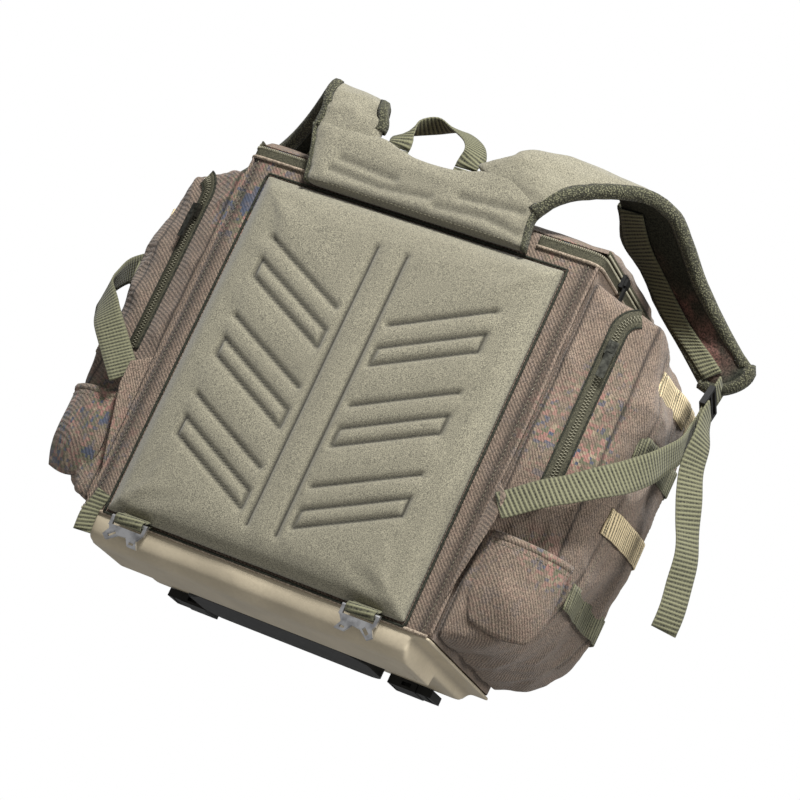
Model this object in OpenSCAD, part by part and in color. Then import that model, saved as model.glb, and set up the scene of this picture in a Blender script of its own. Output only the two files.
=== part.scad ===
// Tackle backpack, standing upright on its moulded base pad.
// +X is to the right of someone facing the harness, +Y points away from the wearer, +Z is up.
// The origin is the middle of the base pad's flat underside. Millimetres.

/* [Bag] */
// Width of the main compartment
body_w = 378; // [370:1:380]
// Depth of the main compartment
body_d = 200; // [198:1:204]
// Thickness of the padded fabric walls
wall = 4; // [3:0.5:5]
// Height of the walls' top edge above the ground
wall_top = 419; // [417:1:419]
// Height of the closed lid's crown above the walls
lid_h = 22; // [18:1:22]

/* [Base] */
// Thickness of the black base pad
pad_h = 10; // [8:1:11]
// Width of the black base pad
pad_w = 200; // [180:5:204]
// Height at which the tan base tub ends and the walls begin
tub_top = 28; // [26:1:30]
// Radius of the tub's lower front and back edges
tub_round = 17; // [10:1:17]

/* [Back panel] */
// Width of the foam back panel
panel_w = 324; // [300:2:330]
// Height of the foam back panel
panel_h = 365; // [350:1:366]
// Thickness of the foam back panel at its crown
panel_t = 18; // [12:1:20]

/* [Pockets] */
// How far the side pockets stand out from the body
pocket_out = 91; // [80:1:91]
// Thickness of the pocket fabric
pocket_skin = 3; // [2:0.5:3]
// Width of the front pocket
front_w = 280; // [200:5:300]
// Depth of the front pocket
front_d = 42; // [30:1:50]
// Width of the coil zips
zip_w = 14; // [10:1:16]

/* [Webbing] */
// Width of the harness webbing
web_w = 30; // [25:1:31]
// Thickness of the webbing
web_t = 1.8; // [1.2:0.1:2]
// Width of the grab handle's webbing
handle_w = 24; // [20:1:25]

/* [Harness] */
// Thickness of the shoulder pads
strap_t = 13; // [10:1:13]

/* [Hidden] */

$fn = 48;
half_w = body_w / 2;
back_y = -120;
front_y = back_y + body_d;
gap = 0.3;

khaki = [0.42, 0.40, 0.30];
brown = [0.36, 0.29, 0.24];
green = [0.36, 0.38, 0.25];
tan = [0.62, 0.55, 0.42];
black = [0.06, 0.06, 0.06];
steel = [0.75, 0.75, 0.76];

// Pocket wall that slants from the body's back corner to the pocket's outer corner.
slant_x = pocket_out - 6;
slant_y = 42;
slant_angle = atan2(slant_y, slant_x);
zip_u = 40;
zip_bend = 22;
zip_low = 190;
zip_top = 358;
slider_z = 340;
front_zip_z = 262;
band_heights = [118, 196, 272, 334];
band_w = 26;
hook_x = 125;
hook_y = -137;
hook_z = 25;
lid_low = wall_top + 1;
lid_back = -114;
handle_low = 458;
step_y = -30;
pad_front = 45;

// The two edges of each shoulder pad, from its root at the yoke to its end.
right_pad_inner = [[65, -130, 479], [72, -128, 488], [84, -120, 496], [110, -102, 504], [138, -80, 508],
    [150, -40, 498], [154, 0, 478], [174, 22, 464], [202, 32, 434], [232, 38, 408], [268, 40, 378]];
right_pad_outer = [[123, -130, 443], [130, -128, 452], [142, -122, 464], [166, -106, 482], [196, -86, 496],
    [216, -60, 495], [230, -38, 480], [248, -8, 456], [272, 18, 434], [292, 34, 418], [306, 40, 408]];
left_pad_outer = [[-134, -130, 464], [-135, -130, 473], [-140, -128, 487], [-144, -118, 501],
    [-157, -98, 498], [-187, -54, 478], [-219, -16, 459], [-254, 2, 425], [-295, 11, 389]];
left_pad_inner = [[-66, -130, 464], [-67, -130, 473], [-73, -127, 485], [-84, -108, 496],
    [-103, -64, 500], [-133, -14, 484], [-177, 36, 469], [-230, 66, 427], [-277, 77, 387]];

// Routes of the webbing, each with the direction of its width at every point.
right_web_route = [[200, -131, 160], [226, -125, 181], [260, -112, 208], [288, -84, 239],
    [299, -44, 274], [297, -12, 300], [293, 8, 319], [292, 16, 337]];
right_web_width = [[-0.5, 0.25, 0.83], [-0.5, 0.2, 0.83], [-0.5, 0.1, 0.8], [-0.4, -0.3, 0.8],
    [-0.1, -0.6, 0.75], [0, -0.8, 0.6], [0, -0.9, 0.4], [0, -0.91, 0.41]];
left_web_route = [[-204, -129, 156], [-238, -118, 188], [-268, -104, 217], [-292, -78, 244],
    [-300, -42, 276], [-297, -12, 300], [-293, 8, 319], [-292, 16, 337]];
left_web_width = [[0.6, 0.2, 0.75], [0.5, 0.2, 0.8], [0.4, 0, 0.8], [0.3, -0.5, 0.75],
    [0.1, -0.7, 0.7], [0, -0.8, 0.6], [0, -0.9, 0.4], [0, -0.91, 0.41]];
right_tail_route = [[297, 14, 344], [303, 6, 322], [308, 0, 292], [318, -2, 256],
    [334, -3, 218], [345, -4, 174], [348, -4, 130]];
right_tail_width = [[0, 0.9, -0.3], [0.3, 0.9, -0.2], [0.5, 0.8, 0.1], [0.7, 0.7, 0.2],
    [0.5, 0.8, 0.2], [0.6, 0.7, 0.2], [0.6, 0.7, 0.2]];
left_tail_route = [[-298, 14, 344], [-302, 14, 322], [-302, 20, 292], [-299, 26, 256],
    [-296, 29, 218], [-293, 31, 174], [-292, 32, 132]];
left_tail_width = [[0, 0.9, -0.3], [0, 0.95, -0.2], [0, 1, 0], [0, 1, 0], [0, 1, 0], [0, 1, 0], [0, 1, 0]];
handle_route = [[24, -119, handle_low], [24, -119, 464], [25, -115, 475], [12, -103, 491], [-12, -94, 501],
    [-34, -94, 500], [-50, -102, 488], [-53, -114, 473], [-50, -119, 464], [-50, -119, handle_low]];
handle_width = [[1, 0, 0], [1, 0, 0], [0.8, 0.5, 0], [0.5, 0.8, 0.3], [0.2, 0.9, 0.3],
    [0, 0.9, -0.3], [-0.4, 0.8, -0.4], [-0.9, 0.4, 0], [-1, 0, 0], [-1, 0, 0]];

// Catmull-Rom point on segment i of a route, t from 0 to 1.
function at(r, i) = i < 0 ? 2 * r[0] - r[1] : i >= len(r) ? 2 * r[len(r) - 1] - r[len(r) - 2] : r[i];
function spline(r, i, t) = 0.5 * (2 * at(r, i) + (at(r, i + 1) - at(r, i - 1)) * t
    + (2 * at(r, i - 1) - 5 * at(r, i) + 4 * at(r, i + 1) - at(r, i + 2)) * t * t
    + (3 * at(r, i) - at(r, i - 1) - 3 * at(r, i + 1) + at(r, i + 2)) * t * t * t);
function smooth(r, n) = [for (i = [0:len(r) - 2]) for (k = [0:n - 1]) spline(r, i, k / n), r[len(r) - 1]];
function unit(v) = v / norm(v);
function arc(cx, cy, r, from, to, n) =
    [for (k = [0:n]) let (a = from + (to - from) * k / n) [cx + r * cos(a), cy + r * sin(a)]];

// Cross-sections, as offsets along the width and the thickness.
function flat_section(w, t) = [[-w / 2, -t / 2], [w / 2, -t / 2], [w / 2, t / 2], [-w / 2, t / 2]];
// Cross-sections between two edges, as shares of the width and offsets along the thickness.
function pad_section(t) = [[0, -t / 4], [0.1, -t / 2], [0.9, -t / 2], [1, -t / 4],
    [1, t / 4], [0.9, t / 2], [0.1, t / 2], [0, t / 4]];
function strip_section(from, to, low, high) = [[from, low], [to, low], [to, high], [from, high]];

// The closed solid through n rings of m points each.
module skin(points, m) {
    n = len(points) / m;
    sides = [for (i = [0:n - 2]) for (k = [0:m - 1]) let (a = i * m + k, b = i * m + (k + 1) % m)
        each k < m / 2 ? [[a, a + m, b + m], [a, b + m, b]] : [[a, a + m, b], [b, a + m, b + m]]];
    polyhedron(points, concat([[for (k = [0:m - 1]) k]], [[for (k = [m - 1:-1:0]) (n - 1) * m + k]], sides),
        convexity = 6);
}

function tangents(c) = [for (i = [0:len(c) - 1]) unit(c[min(i + 1, len(c) - 1)] - c[max(i - 1, 0)])];

// Sweeps a section along a route whose width direction is given at every point.
module ribbon(route, widths, section, steps = 4) {
    c = smooth(route, steps);
    d = smooth(widths, steps);
    tangent = tangents(c);
    across = [for (i = [0:len(c) - 1]) unit(d[i] - tangent[i] * (d[i] * tangent[i]))];
    up = [for (i = [0:len(c) - 1]) cross(across[i], tangent[i])];
    skin([for (i = [0:len(c) - 1]) for (s = section) c[i] + across[i] * s[0] + up[i] * s[1]], len(section));
}

// Sweeps a section between two edges.
module between(inner, outer, section, steps = 4) {
    a = smooth(inner, steps);
    b = smooth(outer, steps);
    tangent = tangents((a + b) / 2);
    up = [for (i = [0:len(a) - 1]) unit(cross(b[i] - a[i], tangent[i]))];
    skin([for (i = [0:len(a) - 1]) for (s = section) a[i] + (b[i] - a[i]) * s[0] + up[i] * s[1]],
        len(section));
}

// A box between two corners.
module block(low, high) {
    translate(low)
        cube(high - low);
}

module rounded_plate(w, d, r, h) {
    linear_extrude(h)
        union() {
            square([w - 2 * r, d], center = true);
            square([w, d - 2 * r], center = true);
            for (x = [-1, 1], y = [-1, 1])
                translate([x * (w / 2 - r), y * (d / 2 - r)])
                    circle(r);
        }
}

// Extrudes a Y-Z outline along X, centred on x = 0.
module across_x(w) {
    translate([-w / 2, 0, 0])
        rotate([90, 0, 90])
            linear_extrude(w)
                children();
}

// Base ---------------------------------------------------------------

module base_pad() {
    color(black)
        translate([0, (step_y + pad_front) / 2, 0])
            rounded_plate(pad_w, pad_front - step_y - gap, 20, pad_h);
}

module tub_outline(inset) {
    r = tub_round;
    rim = tub_top + (inset > 0 ? 1 : 0);
    polygon(concat(
        [[back_y + inset, rim]],
        arc(back_y + r, r, r - inset, 180, 270, 8),
        [[step_y - inset, inset], [step_y - inset, pad_h + inset]],
        arc(front_y - 2 * r, pad_h + 2 * r, 2 * r - inset, 270, 330, 10),
        [[front_y - inset, rim]]));
}

module base_tub() {
    color(tan)
        union() {
            difference() {
                across_x(344)
                    tub_outline(0);
                across_x(344 - 2 * wall)
                    tub_outline(wall);
            }
            difference() {
                block([-half_w, back_y, tub_top - 4], [half_w, front_y, tub_top]);
                block([-168, back_y + 4, tub_top - 5], [168, front_y - 8, tub_top + 1]);
            }
        }
}

module base_board() {
    color(black)
        block([-162, back_y + 12, pad_h + wall], [162, front_y - 42, pad_h + wall + 2]);
}

// Body walls ---------------------------------------------------------

module back_wall() {
    color(brown)
        block([-half_w, back_y, tub_top], [half_w, back_y + wall, wall_top]);
}

module front_wall() {
    color(brown)
        block([-half_w, front_y - wall, tub_top], [half_w, front_y, wall_top]);
}

module gusset(side) {
    color(brown)
        scale([side, 1, 1])
            block([half_w - wall, back_y + wall, tub_top], [half_w, front_y - wall, wall_top]);
}

module frame_sheet() {
    color(black)
        block([-150, back_y + wall, tub_top + 10], [150, back_y + wall + 2, wall_top - 24]);
}

module back_panel() {
    edge = 7;
    bevel = 13;
    color(khaki)
        translate([0, back_y, tub_top])
            union() {
                rotate([90, 0, 0])
                    linear_extrude(edge)
                        translate([-panel_w / 2, 0])
                            square([panel_w, panel_h]);
                intersection() {
                    across_x(panel_w)
                        polygon([[-edge, 1], [-edge, panel_h - 1], [-panel_t, panel_h - bevel],
                            [-panel_t, bevel]]);
                    rotate([0, 0, 180])
                        linear_extrude(panel_h)
                            polygon([[-panel_w / 2 + 1, edge], [panel_w / 2 - 1, edge],
                                [panel_w / 2 - bevel, panel_t], [-panel_w / 2 + bevel, panel_t]]);
                }
            }
}

module yoke_pad() {
    low = tub_top + panel_h + 1;
    neck_r = 150;
    neck_low = 449;
    color(khaki)
        translate([0, -122.3, 0])
            rotate([90, 0, 0])
                linear_extrude(15.4)
                    difference() {
                        polygon([[-116, low], [118, low], [112, 424], [117, 439], [63, 473], [20, 480],
                            [-20, 480], [-56, 459.5], [-134, 459.5], [-124, 424]]);
                        translate([-2, neck_low + neck_r])
                            circle(neck_r, $fn = 180);
                    }
}

// Side pockets -------------------------------------------------------

// The pocket's outer form grown inward by t; a negative t makes it larger.
module pocket_form(t) {
    x0 = half_w + max(t, 0);
    out = half_w + pocket_out - t;
    slant = t / cos(slant_angle);
    intersection() {
        linear_extrude(420)
            polygon([[x0, back_y + 2 + slant], [half_w + slant_x - t / 2, back_y + 2 + slant_y + t],
                [out, -58 + t / 2], [out, 44 - t / 2],
                [half_w + 62 - t / 2, front_y - t], [x0, front_y - t]]);
        rotate([90, 0, 0])
            translate([0, 0, -150])
                linear_extrude(300)
                    polygon([[x0, 394 - t], [half_w + 66 - t / 2, 382 - t], [out, 300], [out, 176],
                        [half_w + 75 - t / 2, 92 + t / 2], [half_w + 36, 42 + t], [x0, 34 + t]]);
        translate([half_w - 1, 0, 0])
            rotate([90, 0, 90])
                linear_extrude(120)
                    polygon([[-130, 396 - t], [-96, 390 - t], [90, 350 - t], [90, 10], [-130, 10]]);
    }
}

module side_pocket(side) {
    color(brown)
        scale([side, 1, 1])
            difference() {
                pocket_form(0);
                pocket_form(pocket_skin);
            }
}

// Places children on the slanted wall: X along the wall, -Y away from the bag, Z up.
module on_slant() {
    translate([half_w, back_y + 2, 0])
        rotate([0, 0, slant_angle])
            children();
}

module pocket_zip(side) {
    r = zip_w / 2;
    color(black)
        scale([side, 1, 1])
            on_slant()
                rotate([90, 0, 0])
                    linear_extrude(2.4)
                        polygon(concat(
                            [[zip_u + r, zip_low], [zip_u - r, zip_low]],
                            arc(zip_u + zip_bend, zip_top, zip_bend + r, 180, 110, 8),
                            arc(zip_u + zip_bend, zip_top, zip_bend - r, 110, 180, 8)));
}

// A zip slider with its pull hanging below it, standing on the plane y = 0.
module zip_slider() {
    color(steel)
        union() {
            block([-5, -4.4, -7], [5, 0, 7]);
            block([-2.5, -7, -5], [2.5, -4.4, 6]);
            block([-4, -6.4, -30], [4, -4.4, -3]);
        }
}

module pocket_slider(side) {
    scale([side, 1, 1])
        on_slant()
            translate([zip_u, -2.4 - gap, slider_z])
                zip_slider();
}

// Open-topped bottle pocket that stands off the slanted wall.
module wing_pocket(side) {
    u0 = 14;
    u1 = 88;
    low = 60;
    high = 138;
    off = 24;
    color(brown)
        scale([side, 1, 1])
            on_slant()
                union() {
                    block([u0, -off - 3, low], [u1, -off, high]);
                    block([u0, -off, low], [u1, -gap / 3, low + 3]);
                    block([u1 - 3, -off, low], [u1, -gap / 3, high]);
                    block([u0, -off, low], [u0 + 3, -gap / 3, low + 26]);
                }
}

// Fabric triangle sewn into the panel seam, which the harness webbing pulls on.
module wing_anchor(side) {
    color(brown)
        scale([side, 1, 1])
            translate([half_w - 2, back_y - gap / 3, 0])
                rotate([0, 0, -32])
                    rotate([90, 0, 0])
                        linear_extrude(2)
                            polygon([[0, 66], [2, 184], [20, 171], [20, 147]]);
}

module molle_bands(side) {
    scale([side, 1, 1])
        for (i = [0:3])
            color(i % 2 == 1 ? tan : green)
                intersection() {
                    difference() {
                        pocket_form(-1.6);
                        pocket_form(0);
                    }
                    block([half_w + 20, -66, band_heights[i] - band_w / 2],
                        [half_w + 120, front_y - 10, band_heights[i] + band_w / 2]);
                }
}

// Front pocket -------------------------------------------------------

module front_form(t) {
    intersection() {
        across_x(front_w - 2 * t)
            polygon([[front_y + max(t, 0), 62 + t], [front_y + front_d - 12, 62 + t],
                [front_y + front_d - t, 76], [front_y + front_d - t, 300],
                [front_y + front_d - 16, 330 - t], [front_y + max(t, 0), 334 - t]]);
        linear_extrude(400)
            polygon([[-front_w / 2 + t, front_y + max(t, 0)], [front_w / 2 - t, front_y + max(t, 0)],
                [front_w / 2 - t, front_y + front_d - 14], [front_w / 2 - 14, front_y + front_d - t],
                [-front_w / 2 + 14, front_y + front_d - t], [-front_w / 2 + t, front_y + front_d - 14]]);
    }
}

module front_pocket() {
    color(brown)
        difference() {
            front_form(0);
            front_form(pocket_skin);
        }
}

module front_pocket_zip() {
    color(black)
        block([-front_w / 2 + 20, front_y + front_d, front_zip_z],
            [front_w / 2 - 20, front_y + front_d + 2, front_zip_z + zip_w]);
}

module front_pocket_slider() {
    translate([front_w / 2 - 40, front_y + front_d + 2 + gap, front_zip_z + zip_w / 2])
        rotate([0, 0, 180])
            zip_slider();
}

// Lid ----------------------------------------------------------------

// The lid's side view, grown inward by t.
module lid_outline(t) {
    top = lid_low + lid_h - 2 - t;
    low = lid_low - (t > 0 ? 1 : 0);
    polygon([[lid_back + t, low], [lid_back + 1 + t, lid_low + 3 - t / 2], [-98 + t / 2, lid_low + 13 - t],
        [-66, top - 1], [-30, top], [20, top], [52 - t / 4, top - 2], [72 - t / 2, top - 8],
        [front_y - t, lid_low + 6 - t / 2], [front_y - t, low]]);
}

module lid() {
    color(brown)
        difference() {
            across_x(body_w)
                lid_outline(0);
            across_x(body_w - 2 * wall)
                lid_outline(wall);
        }
}

// A band round the outside of the body, left open where the yoke is.
module rim_band(low, high, proud) {
    difference() {
        block([-half_w - proud, back_y - proud, low], [half_w + proud, front_y + proud, high]);
        block([-half_w, back_y, low - 1], [half_w, front_y, high + 1]);
        block([-123, back_y - 5, low - 1], [123, back_y + 1, high + 1]);
    }
}

module body_zip_tape() {
    color(black)
        rim_band(wall_top - 12, wall_top - 0.5, 1.5);
}

module lid_zip_tape() {
    color(black)
        difference() {
            rim_band(lid_low, lid_low + 6, 1.5);
            block([-half_w - 5, back_y - 5, lid_low - 1], [half_w + 5, -112, lid_low + 10]);
        }
}

module lid_slider(side) {
    color(black)
        scale([side, 1, 1])
            translate([half_w + 1.5 + gap, -55, wall_top - 1])
                union() {
                    block([0, -7, -6], [4, 7, 7]);
                    block([4, -5, -3], [6.5, 5, 4]);
                    block([4, -3, -21], [6, 3, -3]);
                }
}

// Harness ------------------------------------------------------------

module handle_anchor() {
    ends = [handle_route[0][0], handle_route[len(handle_route) - 1][0]];
    color(green)
        for (x = ends)
            block([x - handle_w / 2, back_y - 0.2, wall_top],
                [x + handle_w / 2, back_y + 1.6, handle_low - 1.2]);
}

module grab_handle() {
    color(green)
        ribbon(handle_route, handle_width, flat_section(handle_w, web_t));
}

module shoulder_pad(inner, outer) {
    color(khaki)
        between(inner, outer, pad_section(strap_t));
}

// Points of a route from index i on.
function from_index(r, i) = [for (k = [i:len(r) - 1]) r[k]];

// The webbing sewn under a pad, and the short link from the pad's end to the ladder lock.
module strap_webbing(inner, outer, first, share, link_x) {
    low = -strap_t / 2 - web_t - 0.5;
    end_z = (inner[len(inner) - 1][2] + outer[len(outer) - 1][2]) / 2;
    color(green)
        union() {
            between(from_index(inner, first), from_index(outer, first),
                strip_section(share[0], share[1], low, low + web_t));
            ribbon([[link_x, 34, end_z - 13], [link_x, 31.6, 371.5], [link_x, 28.3, 364.2]],
                [for (i = [0:2]) [0, 0.91, -0.41]], flat_section(web_w, web_t));
        }
}

// Ladder lock: a frame with a top bar and two lower bars that grip the webbing.
module ladder_lock(side) {
    color(black)
        translate([side * 291, 22, 350])
            rotate([-24, 0, 0])
                difference() {
                    block([-3, -18.5, -10], [3, 18.5, 14]);
                    block([-4, -15.5, 6], [4, 15.5, 11]);
                    block([-4, -15.5, -1], [4, 15.5, 3]);
                    block([-4, -15.5, -8], [4, 15.5, -4]);
                }
}

module webbing_tail(route, widths) {
    color(green)
        ribbon(route, widths, flat_section(web_w - 1, web_t));
}

module lower_webbing(route, widths) {
    color(green)
        ribbon(route, widths, flat_section(web_w, web_t));
}

// Metal hooks --------------------------------------------------------

module hook_loop(side) {
    color(green)
        translate([side * hook_x, hook_y, hook_z])
            across_x(web_w)
                difference() {
                    union() {
                        circle(5.6);
                        rotate(28)
                            translate([0, -3.2])
                                square([16.6, 6.4]);
                    }
                    circle(3.7);
                }
}

module metal_hook(side) {
    color(steel)
        scale([side, 1, 1])
            translate([hook_x, hook_y, hook_z])
                union() {
                    rotate([0, 90, 0])
                        cylinder(r = 2.2, h = 39, center = true);
                    for (x = [-1, 1])
                        block([x * 17.75 - 1.75, -1.6, -9], [x * 17.75 + 1.75, 1.6, 0]);
                    translate([0, 1.5, 0])
                        rotate([90, 0, 0])
                            linear_extrude(3)
                                difference() {
                                    polygon([[-19.5, -7.5], [19.5, -7.5], [17, -12], [21, -19], [16, -23],
                                        [6, -16], [-3, -15], [-8, -22.5], [-18, -22.5], [-14, -15]]);
                                    translate([12, -16])
                                        rotate(-40)
                                            square([8, 3.4], center = true);
                                    translate([-11, -19])
                                        square([5, 2.4], center = true);
                                }
                }
}

// Base buckles -------------------------------------------------------

module buckle_female(side) {
    color(black)
        scale([side, 1, 1])
            translate([102, 56, 0.7])
                difference() {
                    block([0, -15, 0], [30, 15, 9]);
                    block([6, -11, 2], [31, 11, 7]);
                    block([2, -12, -1], [4, 12, 10]);
                    block([14, -16, 2.6], [24, 16, 6.4]);
                }
}

module buckle_male(side) {
    color(black)
        scale([side, 1, 1])
            translate([132.5, 56, 0.7])
                union() {
                    difference() {
                        block([0, -14, 0.5], [16, 14, 8.5]);
                        block([9, -12.5, -1], [12, 12.5, 10]);
                    }
                    for (y = [-1, 1])
                        block([-20, y * 8 - 2.5, 2.6], [0, y * 8 + 2.5, 6.4]);
                    block([-22, -1.5, 2.6], [0, 1.5, 6.4]);
                }
}

// Short spare end of webbing at the left end of the base.
module hem_tail() {
    color(green)
        ribbon([[-172, -121.5, 46], [-174, -122, 36], [-176, -124, 22], [-173, -127, 3]],
            [[1, 0, 0], [1, 0, 0], [0.97, 0.2, 0], [0.95, 0.3, 0]], flat_section(17, web_t));
}

// Assembly -----------------------------------------------------------

base_tub();
base_pad();
base_board();
back_wall();
front_wall();
gusset(-1);  // left_gusset
gusset(1);  // right_gusset
frame_sheet();
back_panel();
yoke_pad();
side_pocket(-1);  // left_side_pocket
side_pocket(1);  // right_side_pocket
pocket_zip(-1);  // left_pocket_zip
pocket_zip(1);  // right_pocket_zip
pocket_slider(-1);  // left_pocket_slider
pocket_slider(1);  // right_pocket_slider
wing_pocket(-1);  // left_wing_pocket
wing_pocket(1);  // right_wing_pocket
wing_anchor(-1);  // left_wing_anchor
wing_anchor(1);  // right_wing_anchor
molle_bands(-1);  // left_molle_bands
molle_bands(1);  // right_molle_bands
front_pocket();
front_pocket_zip();
front_pocket_slider();
body_zip_tape();
lid();
lid_zip_tape();
lid_slider(-1);  // left_lid_slider
lid_slider(1);  // right_lid_slider
handle_anchor();
grab_handle();
shoulder_pad(left_pad_outer, left_pad_inner);  // left_shoulder_pad
shoulder_pad(right_pad_inner, right_pad_outer);  // right_shoulder_pad
strap_webbing(left_pad_outer, left_pad_inner, 4, [0.3, 0.7], -291);  // left_strap_webbing
strap_webbing(right_pad_inner, right_pad_outer, 5, [0.08, 0.48], 291);  // right_strap_webbing
ladder_lock(-1);  // left_ladder_lock
ladder_lock(1);  // right_ladder_lock
webbing_tail(left_tail_route, left_tail_width);  // left_webbing_tail
webbing_tail(right_tail_route, right_tail_width);  // right_webbing_tail
lower_webbing(left_web_route, left_web_width);  // left_lower_webbing
lower_webbing(right_web_route, right_web_width);  // right_lower_webbing
hook_loop(-1);  // left_hook_loop
hook_loop(1);  // right_hook_loop
metal_hook(-1);  // left_metal_hook
metal_hook(1);  // right_metal_hook
buckle_female(-1);  // left_buckle_female
buckle_female(1);  // right_buckle_female
buckle_male(-1);  // left_buckle_male
buckle_male(1);  // right_buckle_male
hem_tail();
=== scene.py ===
"""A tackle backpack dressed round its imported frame: padding, cloth, webbing, zips and fittings.

Lengths inside the script are millimetres, and make_mesh turns them into metres.
"""

import math

import bmesh
import bpy
import numpy as np
from bpy.props import FloatProperty, FloatVectorProperty, PointerProperty
from mathutils import Matrix, Vector, noise
from mathutils.bvhtree import BVHTree


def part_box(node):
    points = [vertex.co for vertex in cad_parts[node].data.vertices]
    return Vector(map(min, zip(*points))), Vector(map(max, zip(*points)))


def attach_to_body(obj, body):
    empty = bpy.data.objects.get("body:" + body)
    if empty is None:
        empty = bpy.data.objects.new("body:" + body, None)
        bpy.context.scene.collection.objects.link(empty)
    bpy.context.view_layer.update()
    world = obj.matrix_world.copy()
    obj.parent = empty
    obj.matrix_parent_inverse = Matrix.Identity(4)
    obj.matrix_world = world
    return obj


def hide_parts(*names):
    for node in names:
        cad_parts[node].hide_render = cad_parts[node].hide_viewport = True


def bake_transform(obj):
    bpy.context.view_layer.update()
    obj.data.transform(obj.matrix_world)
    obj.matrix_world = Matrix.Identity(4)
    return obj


bl_info = {
    "name": "Tackle Backpack",
    "version": (1, 0, 0),
    "blender": (4, 5, 0),
    "location": "View3D > Sidebar > Backpack",
    "description": "Builds the cloth, padding, webbing and fittings of a tackle backpack",
    "category": "Object",
}

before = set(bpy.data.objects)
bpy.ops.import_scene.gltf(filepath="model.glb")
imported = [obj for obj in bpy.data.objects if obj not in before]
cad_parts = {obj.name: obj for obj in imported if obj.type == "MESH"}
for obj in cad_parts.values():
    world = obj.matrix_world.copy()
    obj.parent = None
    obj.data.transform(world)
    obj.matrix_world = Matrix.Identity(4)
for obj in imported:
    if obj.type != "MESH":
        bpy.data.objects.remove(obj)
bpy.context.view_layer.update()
MM = 0.001
SIDES = (("left", -1), ("right", 1))


def limits(node):
    """Lowest and highest corner of a frame node."""
    low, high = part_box(node)
    return np.array(low) / MM, np.array(high) / MM


PANEL_LOW, PANEL_HIGH = limits("back_panel")
YOKE_LOW, YOKE_HIGH = limits("yoke_pad")
WALL_LOW, WALL_HIGH = limits("back_wall")
HALF_W, WALL_TOP = WALL_HIGH[0], WALL_HIGH[2]
BACK_Y, TUB_TOP = WALL_LOW[1], WALL_LOW[2]
FRONT_Y = limits("front_wall")[1][1]
LID_Z = limits("lid")[0][2]
# Radius of the body's upright corners.
CORNER = 11.0

# The panel's sewn channels: a spine, and rows of chevrons to either side of it.
SPINE_X, SPINE_LOW, SPINE_HIGH = 16, 62, 352
CHEVRON_NEAR, CHEVRON_FAR, CHEVRON_RISE = 28, 122, 46
CHEVRON_ROWS = (74, 158, 242)
CHEVRON_BAND, CHEVRON_LINE = 18, 42

# The side pocket's slanted back wall leaves the body's corner at this angle.
SLANT = math.atan2(42, 85)
# Its zip: how far along the wall it stands, its straight part's ends, and the bend above that.
ZIP_U, ZIP_LOW, ZIP_TOP, ZIP_BEND = 40, 190, 358, 22
# The bottle pouch: its middle along the wall, its width, and how far it stands out.
POUCH_U, POUCH_WIDE, POUCH_DEEP = 51, 78, 15
BAND_HEIGHTS = (118, 196, 272, 334)
BAND_BACK, BAND_FRONT = -64, 68

# Heights of the piping and the zip bands round the top, and half of their gap at the back.
PIPING_Z, BODY_BAND_Z, LID_BAND_Z = 406.6, 412.6, 423.2
RIM_GAP, LID_BAND_GAP, LID_BAND_BACK = 124, 150, -112

# The two edges of each shoulder pad, from its root at the yoke to its end.
PAD_EDGES = {
    "right": (
        [(65, -130, 479), (72, -128, 488), (84, -120, 496), (110, -102, 504), (138, -80, 508),
         (150, -40, 498), (154, 0, 478), (174, 22, 464), (202, 32, 434), (232, 38, 408),
         (268, 40, 378)],
        [(123, -130, 443), (130, -128, 452), (142, -122, 464), (166, -106, 482), (196, -86, 496),
         (216, -60, 495), (230, -38, 480), (248, -8, 456), (272, 18, 434), (292, 34, 418),
         (306, 40, 408)],
    ),
    "left": (
        [(-134, -130, 464), (-135, -130, 473), (-140, -128, 487), (-144, -118, 501),
         (-157, -98, 498), (-187, -54, 478), (-219, -16, 459), (-254, 2, 425), (-295, 11, 389)],
        [(-66, -130, 464), (-67, -130, 473), (-73, -127, 485), (-84, -108, 496),
         (-103, -64, 500), (-133, -14, 484), (-177, 36, 469), (-230, 66, 427), (-277, 77, 387)],
    ),
}
# How far each edge is carried on from its root into the yoke.
PAD_ROOT = {"right": ((-30, -2, -20), (-9, -2, -16)), "left": ((0, -1, -18), (2, -1, -18))}
# The webbing under each pad: the edge point where it starts, and its share of the width.
PAD_WEBBING = {"right": (5, 0.08, 0.48), "left": (4, 0.3, 0.7)}
PAD_T = 13
PAD_TIP = 15

# Webbing routes, each with the direction of its width at every point.
LOWER_WEBBING = {
    "right": (
        [(200, -131, 160), (226, -125, 181), (260, -112, 208), (288, -84, 239),
         (299, -44, 274), (297, -12, 300), (293, 8, 319), (291, 19, 343)],
        [(-0.5, 0.25, 0.83), (-0.5, 0.2, 0.83), (-0.5, 0.1, 0.8), (-0.4, -0.3, 0.8),
         (-0.1, -0.6, 0.75), (0, -0.8, 0.6), (0, -0.9, 0.4), (0, -0.91, 0.41)],
    ),
    "left": (
        [(-204, -129, 156), (-238, -118, 188), (-268, -104, 217), (-292, -78, 244),
         (-300, -42, 276), (-297, -12, 300), (-293, 8, 319), (-291, 19, 343)],
        [(0.6, 0.2, 0.75), (0.5, 0.2, 0.8), (0.4, 0, 0.8), (0.3, -0.5, 0.75),
         (0.1, -0.7, 0.7), (0, -0.8, 0.6), (0, -0.9, 0.4), (0, -0.91, 0.41)],
    ),
}
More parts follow.
